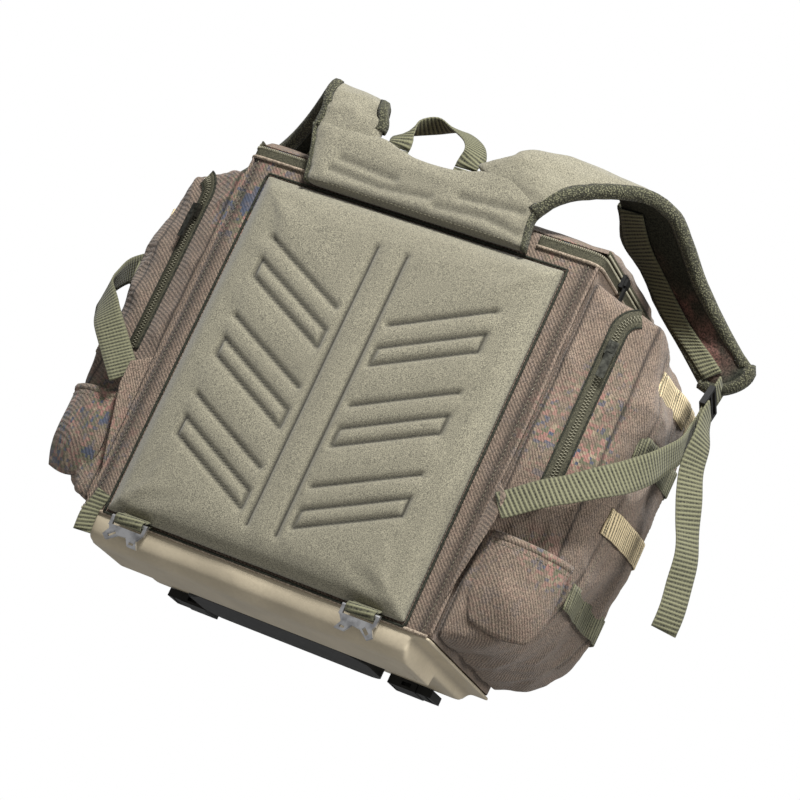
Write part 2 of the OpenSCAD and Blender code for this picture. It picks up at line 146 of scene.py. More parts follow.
WEBBING_TAIL = {
    "right": (
        [(296, 16, 348), (303, 6, 322), (308, 0, 292), (318, -2, 256),
         (334, -3, 218), (345, -4, 174), (348, -4, 130)],
        [(0, 0.9, -0.3), (0.3, 0.9, -0.2), (0.5, 0.8, 0.1), (0.7, 0.7, 0.2),
         (0.5, 0.8, 0.2), (0.6, 0.7, 0.2), (0.6, 0.7, 0.2)],
    ),
    "left": (
        [(-297, 15, 346), (-302, 14, 322), (-302, 20, 292), (-299, 26, 256),
         (-296, 29, 218), (-293, 31, 174), (-292, 32, 132)],
        [(0, 0.9, -0.3), (0, 0.95, -0.2)] + [(0, 1, 0)] * 5,
    ),
}
HANDLE_WEBBING = (
    [(24, -119, 458), (24, -119, 464), (25, -115, 475), (12, -103, 491), (-12, -94, 501),
     (-34, -94, 500), (-50, -102, 488), (-53, -114, 473), (-50, -119, 464), (-50, -119, 458)],
    [(1, 0, 0), (1, 0, 0), (0.8, 0.5, 0), (0.5, 0.8, 0.3), (0.2, 0.9, 0.3),
     (0, 0.9, -0.3), (-0.4, 0.8, -0.4), (-0.9, 0.4, 0), (-1, 0, 0), (-1, 0, 0)],
)
HEM_WEBBING = (
    [(-172, -121.5, 46), (-174, -122, 36), (-176, -124, 22), (-173, -127, 3)],
    [(1, 0, 0), (1, 0, 0), (0.97, 0.2, 0), (0.95, 0.3, 0)],
)
WEB_W, WEB_T, HANDLE_W, HEM_W = 30, 1.8, 24, 17
# The ladder locks' distance from the middle, and the right hook's bar with its loop's tilt.
LOCK_X = 291
HOOK_BAR, LOOP_TILT = (125.0, -137.0, 25.0), 28


# Settings ---------------------------------------------------------------

def colour(name, about, value):
    return FloatVectorProperty(name=name, description=about, subtype="COLOR", size=3,
                               min=0, max=1, default=value)


class BackpackCloth(bpy.types.PropertyGroup):
    """Colours of the cloth, webbing and fittings"""
    khaki: colour("Khaki Knit", "Knit over the foam panel and pads", (0.222, 0.205, 0.146))
    brown: colour("Brown Twill", "Main pack cloth", (0.200, 0.148, 0.109))
    dark: colour("Dark Lining", "Lining and the underside of the pads", (0.018, 0.019, 0.013))
    green: colour("Green Webbing", "Harness webbing and edge tape", (0.098, 0.096, 0.056))
    tan: colour("Tan Webbing", "Lighter bands on the pockets", (0.43, 0.35, 0.21))
    coated: colour("Coated Base", "Coated cloth of the base", (0.50, 0.43, 0.31))
    zips: colour("Zips", "Zip tape and coil", (0.052, 0.049, 0.031))


class BackpackPadding(bpy.types.PropertyGroup):
    """How the padded pieces are stuffed; the lengths are in millimetres"""
    voxel: FloatProperty(name="Mesh Cell", description="Cell size of the padded meshes",
                         default=4.5, min=3, max=8)
    pressure: FloatProperty(name="Pressure", description="Pressure that swells the padding",
                            default=4, min=0, max=12)
    panel_rise: FloatProperty(name="Panel Rise", description="Most that the panel swells",
                              default=2.6, min=0, max=16)
    pocket_rise: FloatProperty(name="Pocket Rise", description="Most that a pocket swells",
                               default=7, min=0, max=16)
    strap_rise: FloatProperty(name="Strap Rise", description="Most that a shoulder pad swells",
                              default=5, min=0, max=10)
    channel_depth: FloatProperty(name="Channel Depth", description="Depth of the sewn channels",
                                 default=3.4, min=0, max=5)


class BackpackStudio(bpy.types.PropertyGroup):
    """Where the camera stands"""
    azimuth: FloatProperty(name="Azimuth", description="Camera's direction round the bag",
                           subtype="ANGLE", default=math.radians(24.5))
    elevation: FloatProperty(name="Elevation", description="Camera's height as an angle",
                             subtype="ANGLE", default=math.radians(-12.6))
    roll: FloatProperty(name="Roll", description="Camera's turn about its own axis",
                        subtype="ANGLE", default=math.radians(25))
    distance: FloatProperty(name="Distance", description="Camera's distance from the bag",
                            unit="LENGTH", default=3.0, min=1)
    lens: FloatProperty(name="Lens", description="Focal length in millimetres",
                        default=139.2, min=20)


# Lines ------------------------------------------------------------------

def unit(v):
    return v / np.maximum(np.linalg.norm(v, axis=-1, keepdims=True), 1e-9)


def tangents(line):
    ahead = np.vstack([line[1:], line[-1:]])
    behind = np.vstack([line[:1], line[:-1]])
    return unit(ahead - behind)


def run_length(line):
    return np.concatenate([[0], np.cumsum(np.linalg.norm(np.diff(line, axis=0), axis=1))])


def sampled(at, line, *fields):
    """Fields given along a line, such as its points or normals, at distances along it."""
    run = run_length(line)
    return [np.stack([np.interp(at, run, field[:, k]) for k in range(3)], 1) for field in fields]


def even_line(line, spacing):
    """The same line with evenly spaced points."""
    whole = run_length(line)[-1]
    at = np.linspace(0, whole, max(2, int(round(whole / spacing)) + 1))
    return sampled(at, line, line)[0]


def smooth_line(points, steps):
    """A smooth line through the points, with this many parts to a stretch."""
    p = np.array(points, float)
    p = np.vstack([2 * p[0] - p[1], p, 2 * p[-1] - p[-2]])
    t = (np.arange(steps) / steps)[:, None]
    parts = [0.5 * (2 * b + (c - a) * t + (2 * a - 5 * b + 4 * c - d) * t**2
                    + (3 * b - a - 3 * c + d) * t**3)
             for a, b, c, d in zip(p, p[1:], p[2:], p[3:])]
    return np.vstack(parts + [p[-2:-1]])


def even_normals(normals, rounds=4):
    for _ in range(rounds):
        padded = np.vstack([normals[:1], normals, normals[-1:]])
        normals = unit(padded[:-2] + 2 * padded[1:-1] + padded[2:])
    return normals


def away_from(points, lines):
    """Distance of flat points to the nearest of some broken lines."""
    best = np.full(len(points), 1e9)
    for line in lines:
        line = np.array(line, float)
        for a, b in zip(line, line[1:]):
            run = b - a
            t = np.clip(((points - a) @ run) / (run @ run), 0, 1)
            best = np.minimum(best, np.linalg.norm(points - a - t[:, None] * run, axis=1))
    return best


def fade(away, width):
    """1 at no distance, falling to nothing beyond about twice the width."""
    return np.exp(-(away / width) ** 2)


def creases(points, size, height, stretch=(1, 1, 1), seed=0.0):
    """Soft cloth creases: a height for each point, from folded noise."""
    scaled = points / size * np.array(stretch) + seed
    values = np.array([noise.noise(Vector(p)) for p in scaled])
    return height * (0.5 - np.abs(values) * 2)


# Mesh tools -------------------------------------------------------------

def add_object(name, mesh):
    obj = bpy.data.objects.new(name, mesh)
    bpy.context.scene.collection.objects.link(obj)
    return obj


def make_mesh(name, points, faces, finish, uv=None):
    """A new object in the scene from points in millimetres."""
    mesh = bpy.data.meshes.new(name)
    mesh.from_pydata((np.asarray(points, float) * MM).tolist(), [], faces)
    mesh.polygons.foreach_set("use_smooth", [True] * len(mesh.polygons))
    if uv is not None:
        layer = mesh.uv_layers.new(name="cloth")
        corners = np.zeros(len(mesh.loops), int)
        mesh.loops.foreach_get("vertex_index", corners)
        layer.data.foreach_set("uv", np.asarray(uv, float)[corners].ravel())
    mesh.materials.append(finish)
    return add_object(name, mesh)


def attach(obj, body, slot, *nodes):
    """Rides obj on a body, or on none yet, with the frame nodes it stands for; the slot is not
    used.
    """
    if body is not None:
        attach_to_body(obj, body)
    if nodes:
        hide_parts(*nodes)


def read(items, field):
    """A vector field of a mesh's points or faces."""
    values = np.zeros(len(items) * 3)
    items.foreach_get(field, values)
    return values.reshape(-1, 3)


def get_points(obj):
    return read(obj.data.vertices, "co") / MM


def set_points(obj, points):
    obj.data.vertices.foreach_set("co", (points * MM).ravel())
    obj.data.update()


def get_faces(obj):
    """The middles and the normals of obj's faces."""
    return read(obj.data.polygons, "center") / MM, read(obj.data.polygons, "normal")


def push(obj, heights):
    """Moves every point along its normal."""
    normals = read(obj.data.vertex_normals, "vector")
    set_points(obj, get_points(obj) + normals * np.asarray(heights)[:, None])


def apply_modifiers(obj):
    """Replaces obj's mesh with its evaluated one."""
    graph = bpy.context.evaluated_depsgraph_get()
    mesh = bpy.data.meshes.new_from_object(obj.evaluated_get(graph))
    obj.modifiers.clear()
    obj.data = mesh
    mesh.polygons.foreach_set("use_smooth", [True] * len(mesh.polygons))


def refine(obj):
    """Divides every face once, smoothly."""
    modifier = obj.modifiers.new("subdivision", "SUBSURF")
    modifier.levels = modifier.render_levels = 1
    apply_modifiers(obj)


def soften(obj, times=3):
    """Rounds off the remeshed corners."""
    modifier = obj.modifiers.new("soften", "SMOOTH")
    modifier.iterations = times
    modifier.factor = 0.5
    apply_modifiers(obj)


def even_mesh(obj, cell):
    """Even small faces all over obj."""
    modifier = obj.modifiers.new("cells", "REMESH")
    modifier.mode = "VOXEL"
    modifier.voxel_size = cell * MM
    finish = obj.data.materials[0]
    apply_modifiers(obj)
    obj.data.materials.clear()
    obj.data.materials.append(finish)


def skin(name, rings, shares, finish, capped=True):
    """A skin through rings of points, with a cloth map: share across, metres along."""
    rings = np.asarray(rings)
    n, m = rings.shape[:2]
    index = np.arange(n * m).reshape(n, m)
    near, far = index[:-1], index[1:]
    faces = np.stack([near, np.roll(near, -1, 1), np.roll(far, -1, 1), far], -1)
    faces = faces.reshape(-1, 4).tolist()
    if capped:
        faces += [index[0, ::-1].tolist(), index[-1].tolist()]
    along = run_length(rings.mean(1)) * MM
    uv = np.stack([np.tile(shares, (n, 1)), np.tile(along[:, None], (1, m))], -1)
    obj = make_mesh(name, rings.reshape(-1, 3), faces, finish, uv.reshape(-1, 2))
    work = bmesh.new()
    work.from_mesh(obj.data)
    bmesh.ops.recalc_face_normals(work, faces=work.faces)
    work.to_mesh(obj.data)
    work.free()
    return obj


def strip_section(thickness, parts=6):
    """Shares across and offsets along the thickness, for a woven strip with soft edges."""
    share = np.concatenate([np.linspace(0.02, 0.98, parts), np.linspace(0.98, 0.02, parts)])
    offset = np.concatenate([np.full(parts, -0.5), np.full(parts, 0.5)]) * thickness
    share = np.concatenate([[0.0], share[:parts], [1.0], share[parts:]])
    offset = np.concatenate([[0.0], offset[:parts], [0.0], offset[parts:]])
    return share, offset


def strip(name, line, across, up, width, thickness, finish, lift=0.0):
    """A woven strip along a line, given its directions across and up, and lifted by some."""
    share, offset = strip_section(thickness)
    rings = (line[:, None] + across[:, None] * ((share - 0.5) * width)[None, :, None]
             + up[:, None] * (offset[None] + np.reshape(lift, (-1, 1)))[..., None])
    return skin(name, rings, share, finish)


def lay_strip(name, line, normals, width, thickness, finish, lift=0.3):
    """A woven strip laid on a surface: line on it, with the surface's normals."""
    across = unit(np.cross(normals, tangents(line)))
    return strip(name, line, across, normals, width, thickness, finish, lift + thickness / 2)


def webbing(name, route, widths, width, thickness=WEB_T, spacing=4, slub=0.25):
    """Harness webbing along a route whose width direction is given at every point."""
    line, turned = smooth_line(route, 8), smooth_line(widths, 8)
    whole = run_length(line)[-1]
    at = np.linspace(0, whole, max(3, int(whole / spacing)))
    line, turned = sampled(at, line, line, turned)
    way = tangents(line)
    across = unit(turned - way * (turned * way).sum(1, keepdims=True))
    return strip(name, line, across, np.cross(across, way), width, thickness,
                 look("harness_webbing"), slub * np.sin(at / 9.0))


def tube(name, line, radius, finish, sides=8, flat=1.0, normals=None):
    """A round cord along a line, or an oval one if flat isn't 1."""
    way = tangents(line)
    side = np.cross(way, (0.0, 0.0, 1.0) if normals is None else normals)
    weak = np.linalg.norm(side, axis=1) < 0.2
    side[weak] = np.cross(way[weak], (0.0, 1.0, 0.0))
    side = unit(side)
    up = np.cross(side, way)
    angle = np.arange(sides) * 2 * math.pi / sides
    rings = (line[:, None] + side[:, None] * (np.cos(angle) * radius)[None, :, None]
             + up[:, None] * (np.sin(angle) * radius * flat)[None, :, None])
    return skin(name, rings, (np.cos(angle) + 1) / 2, finish)


def beads(name, centres, ways, ups, size, finish):
    """Many small rounded lumps, such as stitches or zip teeth: size is along, across, high."""
    shape = np.array([(-1, 0, 0), (-0.6, -0.8, 0), (-0.6, 0.8, 0), (0.6, -0.8, 0), (0.6, 0.8, 0),
                      (1, 0, 0), (-0.5, 0, 1), (0.5, 0, 1), (-0.5, 0, -1), (0.5, 0, -1)]) / 2
    form = [(0, 1, 6), (0, 6, 2), (1, 3, 7, 6), (6, 7, 4, 2), (5, 7, 3), (5, 4, 7),
            (0, 8, 1), (0, 2, 8), (1, 8, 9, 3), (8, 2, 4, 9), (5, 3, 9), (5, 9, 4)]
    ways = unit(ways)
    sides = unit(np.cross(ups, ways))
    points = centres[:, None] + sum(
        axis[:, None] * (shape[:, k] * size[k])[None, :, None]
        for k, axis in enumerate((ways, sides, np.cross(ways, sides))))
    faces = [tuple(v + len(shape) * i for v in f) for i in range(len(centres)) for f in form]
    return make_mesh(name, points.reshape(-1, 3), faces, finish)


def sew(name, lines, pitch=4.6, size=(3.0, 0.9, 0.7)):
    """Stitches along lines that lie on a surface; each line comes with its normals."""
    parts = []
    for line, normals in lines:
        at = np.arange(pitch / 2, run_length(line)[-1], pitch)
        if len(at):
            parts.append(sampled(at, line, line, tangents(line), normals))
    return beads(name, *(np.vstack(part) for part in zip(*parts)), size, look("thread"))


def coil(name, spots, sides, ups, sway=1.3, size=(4.2, 1.3, 1.5)):
    """A zip's teeth at these spots, in turn to one side and the other."""
    shift = np.where(np.arange(len(spots)) % 2, sway, -sway)[:, None]
    return beads(name, spots + sides * shift, sides, ups, size, look("zip_coil"))


def join(name, objects):
    """One object from several, keeping their materials."""
    work = bmesh.new()
    finishes = []
    for obj in objects:
        start = len(work.faces)
        work.from_mesh(obj.data)
        work.faces.ensure_lookup_table()
        for face in work.faces[start:]:
            finish = obj.data.materials[face.material_index]
            if finish not in finishes:
                finishes.append(finish)
            face.material_index = finishes.index(finish)
    first = objects[0]
    chosen = [face.material_index for face in work.faces]
    work.to_mesh(first.data)
    work.free()
    first.data.materials.clear()
    for finish in finishes:
        first.data.materials.append(finish)
    first.data.polygons.foreach_set("material_index", chosen)
    for obj in objects[1:]:
        bpy.data.objects.remove(obj)
    first.name = name
    return first


class Surface:
    """Finds where a line meets an object, for laying tape and stitches on it."""

    def __init__(self, obj):
        bpy.context.view_layer.update()
        self.tree = BVHTree.FromObject(obj, bpy.context.evaluated_depsgraph_get())

    def drop(self, points, direction, reach=60.0):
        """The first places met coming from outside, and their normals."""
        found = []
        ways = np.broadcast_to(unit(np.array(direction, float)), (len(points), 3))
        for p, way in zip(np.asarray(points, float), ways):
            start = Vector((p + way * reach) * MM)
            place, normal, _, _ = self.tree.ray_cast(start, Vector(-way), 2 * reach * MM)
            if place is None:
                place, normal, _, _ = self.tree.find_nearest(Vector(p * MM))
            found.append((np.array(place) / MM, np.array(normal)))
        return np.array([f[0] for f in found]), np.array([f[1] for f in found])


# Padding ----------------------------------------------------------------

def padding():
    return bpy.context.scene.backpack_padding


def copy_of(node, name, finish, hull=False):
    """A free copy of a frame node's mesh, or of the closed form round it."""
    work = bmesh.new()
    work.from_mesh(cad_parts[node].data)
    if hull:
        found = bmesh.ops.convex_hull(work, input=work.verts, use_existing_faces=False)
        inside = {g for g in found["geom_interior"] + found["geom_unused"]
                  if isinstance(g, bmesh.types.BMVert)}
        bmesh.ops.delete(work, geom=list(inside), context="VERTS")
    mesh = bpy.data.meshes.new(name)
    work.to_mesh(mesh)
    work.free()
    mesh.materials.clear()
    mesh.materials.append(look(finish))
    return add_object(name, mesh)


def swell(obj, rise, held):
    """Swells obj as stuffed cloth and lets no point move more than rise. Held points stay."""
    start = get_points(obj)
    group = obj.vertex_groups.new(name="held")
    group.add([int(i) for i in np.nonzero(held)[0]], 1.0, "REPLACE")
    settings = obj.modifiers.new("stuffing", "CLOTH").settings
    settings.quality = 4
    settings.mass = 0.25
    settings.tension_stiffness = 12
    settings.compression_stiffness = 12
    settings.shear_stiffness = 4
    settings.bending_stiffness = 0.4
    settings.use_pressure = True
    settings.uniform_pressure_force = padding().pressure
    settings.effector_weights.gravity = 0
    settings.vertex_group_mass = "held"
    scene = bpy.context.scene
    for number in range(1, 21):
        scene.frame_set(number)
    swollen = obj.evaluated_get(bpy.context.evaluated_depsgraph_get())
    moved = read(swollen.to_mesh().vertices, "co") / MM - start
    swollen.to_mesh_clear()
    length = np.linalg.norm(moved, axis=1, keepdims=True)
    moved *= np.minimum(1, rise / np.maximum(length, 1e-6))
    obj.modifiers.clear()
    obj.vertex_groups.clear()
    scene.frame_set(1)
    set_points(obj, start + moved)


def stuffed(node, name, finish, rise, held, coarser=0.0, hull=False, rounds=4):
    """A padded copy of a node: even cells, rounded corners, and swollen by pressure."""
    obj = copy_of(node, name, finish, hull)
    even_mesh(obj, padding().voxel + coarser)
    soften(obj, rounds)
    swell(obj, rise, held(get_points(obj)))
    soften(obj, 2)
    refine(obj)
    return obj


# Finishes ---------------------------------------------------------------

def cloth_colour(name):
    return tuple(getattr(bpy.context.scene.backpack_cloth, name))


def shade(rgb, times):
    return tuple(min(1.0, c * times) for c in rgb)


class Finish:
    """A finish's node tree while it is being put together."""

    def __init__(self, name, rough=0.8, metal=0.0, sheen=0.0):
        self.material = bpy.data.materials.new(name)
        self.material.use_nodes = True
        self.tree = self.material.node_tree
        self.shader = self.tree.nodes["Principled BSDF"]
        for key, value in (("Roughness", rough), ("Metallic", metal), ("Sheen Weight", sheen),
                           ("Sheen Roughness", 0.6), ("Specular IOR Level", 0.3)):
            self.shader.inputs[key].default_value = value
        where = self.add("ShaderNodeTexCoord")
        self.place = where.outputs["Object"]
        self.map = where.outputs["UV"]
        self.relief = None

    def add(self, kind, inputs=None, **settings):
        node = self.tree.nodes.new(kind)
        for key, value in settings.items():
            setattr(node, key, value)
        for key, value in (inputs or {}).items():
            if isinstance(value, bpy.types.NodeSocket):
                self.tree.links.new(value, node.inputs[key])
            elif isinstance(value, tuple) and node.inputs[key].type == "RGBA":
                node.inputs[key].default_value = (*value, 1)
            else:
                node.inputs[key].default_value = value
        return node

    def grain(self, scale, detail=2, place=None, rough=0.5):
        return self.add("ShaderNodeTexNoise", {"Vector": place or self.place, "Scale": scale,
                                               "Detail": detail, "Roughness": rough}).outputs["Fac"]

    def speck(self, scale, low, high, a=0.0, b=1.0, detail=2):
        """Grain from low to high turned into a to b."""
        return self.between(self.grain(scale, detail), low, high, a, b)

    def sums(self, operation, a, b=0.0, clamp=False):
        return self.add("ShaderNodeMath", {0: a, 1: b}, operation=operation,
                        use_clamp=clamp).outputs[0]

    def vector(self, operation, a, b, output="Vector"):
        return self.add("ShaderNodeVectorMath", {0: a, 1: b}, operation=operation).outputs[output]

    def between(self, fac, low, high, a=0.0, b=1.0):
        """Turns fac from low to high into a to b."""
        return self.add("ShaderNodeMapRange", {"Value": fac, "From Min": low, "From Max": high,
                                               "To Min": a, "To Max": b}).outputs["Result"]

    def mix(self, fac, a, b, mode="MIX"):
        return self.add("ShaderNodeMixRGB", {"Fac": fac, "Color1": a, "Color2": b},
                        blend_type=mode).outputs["Color"]

    def steps(self, fac, stops):
        """Flat bands of colour: each stop is (from, colour)."""
        node = self.add("ShaderNodeValToRGB", {"Fac": fac})
        node.color_ramp.interpolation = "CONSTANT"
        points = node.color_ramp.elements
        while len(points) < len(stops):
            points.new(1.0)
        for point, (start, rgb) in zip(points, stops):
            point.position = start
            point.color = (*rgb, 1)
        return node.outputs["Color"]

    def raise_by(self, height, strength, distance):
        inputs = {"Height": height, "Strength": strength, "Distance": distance}
        if self.relief is not None:
            inputs["Normal"] = self.relief
        self.relief = self.add("ShaderNodeBump", inputs).outputs["Normal"]

    def done(self, base, shade_seams=True):
        """Puts the colour and the relief in place; if asked, darkens the colour with painted shade
        in seams, creases and along edges.
        """
        if shade_seams:
            # Painted shade: a near-black colour is multiplied in by the stored seam-shade amount.
            depth = self.add("ShaderNodeAttribute", attribute_name="crease").outputs["Fac"]
            base = self.mix(depth, base, (0.02, 0.018, 0.012), "MULTIPLY")
        self.tree.links.new(base, self.shader.inputs["Base Color"])
        if self.relief is not None:
            self.tree.links.new(self.relief, self.shader.inputs["Normal"])
        return self.material


# Where the camouflage shows: places in millimetres, each with a radius.
PACK_SPOTS = (
    ((-177, -120, 395), 55), ((-177, -120, 350), 40), ((228, -104, 250), 62),
    ((236, -98, 300), 40), ((-235, -105, 95), 80), ((-262, -60, 120), 60),
    ((240, -96, 110), 60), ((150, -120, 410), 30),
)
POUCH_SPOTS = (((262, -95, 148), 50), ((-235, -110, 95), 90))
LINING_SPOTS = (((190, 10, 470), 34), ((222, 24, 440), 34), ((262, 36, 410), 40),
                ((-230, 40, 430), 60))
CAMO_CELL = (0.0030, 0.0030, 0.0030)
ROSE, OLIVE, SAND = (0.34, 0.165, 0.135), (0.125, 0.130, 0.075), (0.34, 0.27, 0.18)
BLUE, BARK = (0.05, 0.075, 0.13), (0.2, 0.14, 0.1)


def camo(f, ground, amount):
    """Small square blotches of other colours over the ground."""
    pick = f.grain(62, 2, f.vector("SNAP", f.place, CAMO_CELL), 0.75)
    blots = f.steps(pick, [(0.0, BLUE), (0.41, OLIVE), (0.46, BARK), (0.5, ROSE), (0.55, SAND),
                           (0.59, OLIVE), (0.63, BLUE)])
    return f.mix(amount, ground, blots)


def patches(f, spots, floor=0.0):
    """How strong the camouflage is: full near the given spots and fading out round them."""
    total = None
    ragged = f.between(f.sums("MULTIPLY", f.grain(38, 3), 0.9), 0.36, 0.5, 0.2, 1.0)
    for centre, radius in spots:
        away = f.vector("DISTANCE", f.place, tuple(c * MM for c in centre), "Value")
        near = f.between(away, radius * MM, radius * MM * 0.35)
        near = f.sums("MULTIPLY", near, ragged, True)
        total = near if total is None else f.sums("MAXIMUM", total, near)
    return f.sums("MAXIMUM", total, floor)


def khaki_knit(f, rgb):
    base = f.mix(f.speck(1150, 0.36, 0.64), shade(rgb, 0.45), shade(rgb, 1.62))
    f.raise_by(f.grain(900), 0.55, 0.0006)
    return f.mix(f.speck(9, 0.3, 0.7, 0, 0.3, 3), base, shade(rgb, 0.78))


def twill(f, rgb, spots=PACK_SPOTS, floor=0.05):
    """Diagonal lines, flecked and worn, with camouflage at the spots."""
    lines = f.add("ShaderNodeTexWave", {"Vector": f.place, "Scale": 150.0, "Distortion": 2.4,
                                        "Detail": 2.0, "Detail Scale": 3.0},
                  wave_type="BANDS", bands_direction="DIAGONAL").outputs["Fac"]
    base = f.mix(f.between(lines, 0.2, 0.8), shade(rgb, 0.62), shade(rgb, 1.38))
    base = f.mix(f.speck(820, 0.48, 0.62, 0, 0.75), base, shade(rgb, 1.95))
    base = f.mix(f.speck(700, 0.52, 0.38, 0, 0.7), base, shade(rgb, 0.3))
    base = f.mix(f.speck(14, 0.35, 0.7, 0, 0.45, 3), base, shade(rgb, 0.6))
    base = camo(f, base, f.sums("MULTIPLY", patches(f, spots, floor), 0.85))
    f.raise_by(lines, 0.5, 0.0007)
    f.raise_by(f.grain(500, 1), 0.4, 0.0004)
    return f.mix(0.5, base, f.mix(lines, (0.75, 0.75, 0.75), (1, 1, 1)), "MULTIPLY")


def pouch_twill(f, rgb):
    return twill(f, rgb, POUCH_SPOTS, 0.1)


def dark_lining(f, rgb):
    speck = f.speck(600, 0.35, 0.65)
    base = f.mix(speck, shade(rgb, 0.5), shade(rgb, 2.4))
    f.raise_by(f.grain(420), 0.6, 0.0008)
    faded = f.mix(speck, (0.05, 0.03, 0.022), (0.22, 0.11, 0.09))
    return f.mix(patches(f, LINING_SPOTS), base, faded)


def woven(f, rgb, pitch=0.0042, slant=0.0036):
    """Webbing: ribs across it, broken along their length, with lighter edges."""
    parts = f.add("ShaderNodeSeparateXYZ", {"Vector": f.map})
    across, along = parts.outputs["X"], parts.outputs["Y"]
    turns = f.sums("ADD", along, f.sums("MULTIPLY", across, slant))
    ribs = f.between(f.sums("SINE", f.sums("MULTIPLY", turns, 2 * math.pi / pitch)), -1, 1)
    rows = f.between(f.sums("SINE", f.sums("MULTIPLY", across, 2 * math.pi * 9)), -1, 1)
    weave = f.sums("ADD", f.sums("MULTIPLY", ribs, 0.82), f.sums("MULTIPLY", rows, 0.18))
    base = f.mix(f.between(weave, 0.25, 0.75), shade(rgb, 0.12), shade(rgb, 2.2))
    base = f.mix(f.speck(700, 0.35, 0.65, 0, 0.6), base, shade(rgb, 1.7))
    off = f.sums("ABSOLUTE", f.sums("SUBTRACT", across, 0.5))
    f.raise_by(weave, 0.8, 0.0009)
    return f.mix(f.between(off, 0.4, 0.48, 0, 0.5), base, shade(rgb, 1.5))


def edge_tape(f, rgb):
    """The nubbly woven tape bound round the pads' edges."""
    lumps = f.add("ShaderNodeTexVoronoi", {"Vector": f.place, "Scale": 560.0}).outputs["Distance"]
    base = f.mix(f.between(lumps, 0.15, 0.55), shade(rgb, 2.3), shade(rgb, 0.3))
    f.raise_by(lumps, 0.9, -0.0012)
    return f.mix(f.speck(40, 0.4, 0.65, 0, 0.5), base, shade(rgb, 0.45))


def coated_cloth(f, rgb):
    base = f.mix(f.speck(16, 0.35, 0.7, detail=4), shade(rgb, 0.86), shade(rgb, 1.1))
    f.raise_by(f.grain(520), 0.25, 0.0004)
    f.raise_by(f.grain(22), 0.3, 0.003)
    return f.mix(f.speck(300, 0.4, 0.7, 0, 0.3), base, shade(rgb, 0.8))


def zip_cloth(f, rgb):
    f.raise_by(f.grain(700), 0.6, 0.0006)
    return f.mix(f.speck(900, 0.35, 0.65), shade(rgb, 0.55), shade(rgb, 1.9))


def pale_piping(f, _):
    speck = f.speck(640, 0.35, 0.65)
    f.raise_by(speck, 0.6, 0.0005)
    return f.mix(speck, (0.16, 0.12, 0.085), (0.42, 0.34, 0.25))


# Cloth finishes: the maker, the colour setting, the roughness and the sheen.
CLOTHS = {
    "khaki_knit": (khaki_knit, "khaki", 0.92, 0.25),
    "brown_twill": (twill, "brown", 0.85, 0.15),
    "camo_twill": (pouch_twill, "brown", 0.85, 0.15),
    "dark_lining": (dark_lining, "dark", 0.9, 0.0),
    "harness_webbing": (woven, "green", 0.82, 0.1),
    "tan_webbing": (woven, "tan", 0.82, 0.1),
    "edge_tape": (edge_tape, "green", 0.9, 0.1),
    "coated_cloth": (coated_cloth, "coated", 0.42, 0.0),
    "zip_cloth": (zip_cloth, "zips", 0.8, 0.0),
    "pale_piping": (pale_piping, "tan", 0.7, 0.1),
}
# Hard finishes: roughness and metal; the grain's scale, range and detail; the dark and the pale
# colour; the relief's scale, detail, strength and depth; and whether painted seam shade darkens it.
HARD = {
    "zip_coil": ((0.5, 0), (300, 0, 1, 2), (0.16, 0.15, 0.10), (0.36, 0.34, 0.25),
                 (900, 1, 0.3, 0.0003), True),
    "thread": ((0.7, 0), (500, 0, 1, 2), (0.13, 0.12, 0.08), (0.30, 0.28, 0.20),
               (1500, 1, 0.4, 0.0003), True),
    "black_moulding": ((0.55, 0), (60, 0.35, 0.7, 4), (0.004, 0.004, 0.004),
                       (0.014, 0.014, 0.013), (900, 2, 0.25, 0.0003), False),
    "hook_metal": ((0.36, 1), (110, 0.3, 0.6, 4), (0.30, 0.30, 0.31), (0.72, 0.72, 0.73),
                   (420, 3, 0.12, 0.0004), False),
    "zip_metal_dark": ((0.4, 0.9), (240, 0.3, 0.7, 4), (0.03, 0.03, 0.026), (0.12, 0.12, 0.10),
                       (800, 2, 0.3, 0.0003), False),
}


def look(name):
    """The finish with this name, made the first time that it is asked for."""
    if name in bpy.data.materials:
        return bpy.data.materials[name]
    if name in CLOTHS:
        maker, setting, rough, sheen = CLOTHS[name]
        f = Finish(name, rough, sheen=sheen)
        return f.done(maker(f, cloth_colour(setting)))
    surface, (scale, low, high, detail), dark, pale, relief, shade_seams = HARD[name]
    f = Finish(name, *surface)
    f.raise_by(f.grain(*relief[:2]), *relief[2:])
    return f.done(f.mix(f.speck(scale, low, high, detail=detail), dark, pale), shade_seams)


def dress(node, finish, bevel):
    """Gives a frame node that stays its finish and softened edges."""
    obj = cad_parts[node]
    for slot in obj.material_slots:
        slot.material = look(finish)
    modifier = obj.modifiers.new("edges", "BEVEL")
    modifier.width = bevel * MM
    modifier.segments = 2
    modifier.limit_method = "ANGLE"


def paint_seam_shade(obj, values):
    """Stores how much painted shade each point gets in seams, creases and along edges, for the
    finishes to darken.
    """
    layer = obj.data.attributes.new("crease", "FLOAT", "POINT")
    layer.data.foreach_set("value", np.clip(values, 0, 1).astype(float))


def second_finish(obj, finish, chosen):
    """Gives the chosen faces another finish."""
    obj.data.materials.append(look(finish))
    obj.data.polygons.foreach_set("material_index", np.where(chosen, 1, 0).astype(np.int32))


# Pieces -----------------------------------------------------------------

class Operator(bpy.types.Operator):
    bl_options = {"REGISTER", "UNDO"}


def channel_lines():
    """The panel's sewn lines: the spine, and for each chevron a closed band and a line above."""
    lines = [[(x, SPINE_LOW), (x, SPINE_HIGH)] for x in (-SPINE_X, SPINE_X)]
    for side in (-1, 1):
        near, far = side * CHEVRON_NEAR, side * CHEVRON_FAR
        for low in CHEVRON_ROWS:
            high = low + CHEVRON_RISE
            band = [(near, low), (far, high), (far, high + CHEVRON_BAND),
                    (near, low + CHEVRON_BAND)]
            lines += [band + band[:1], [(near, low + CHEVRON_LINE), (far, high + CHEVRON_LINE)]]
    return lines


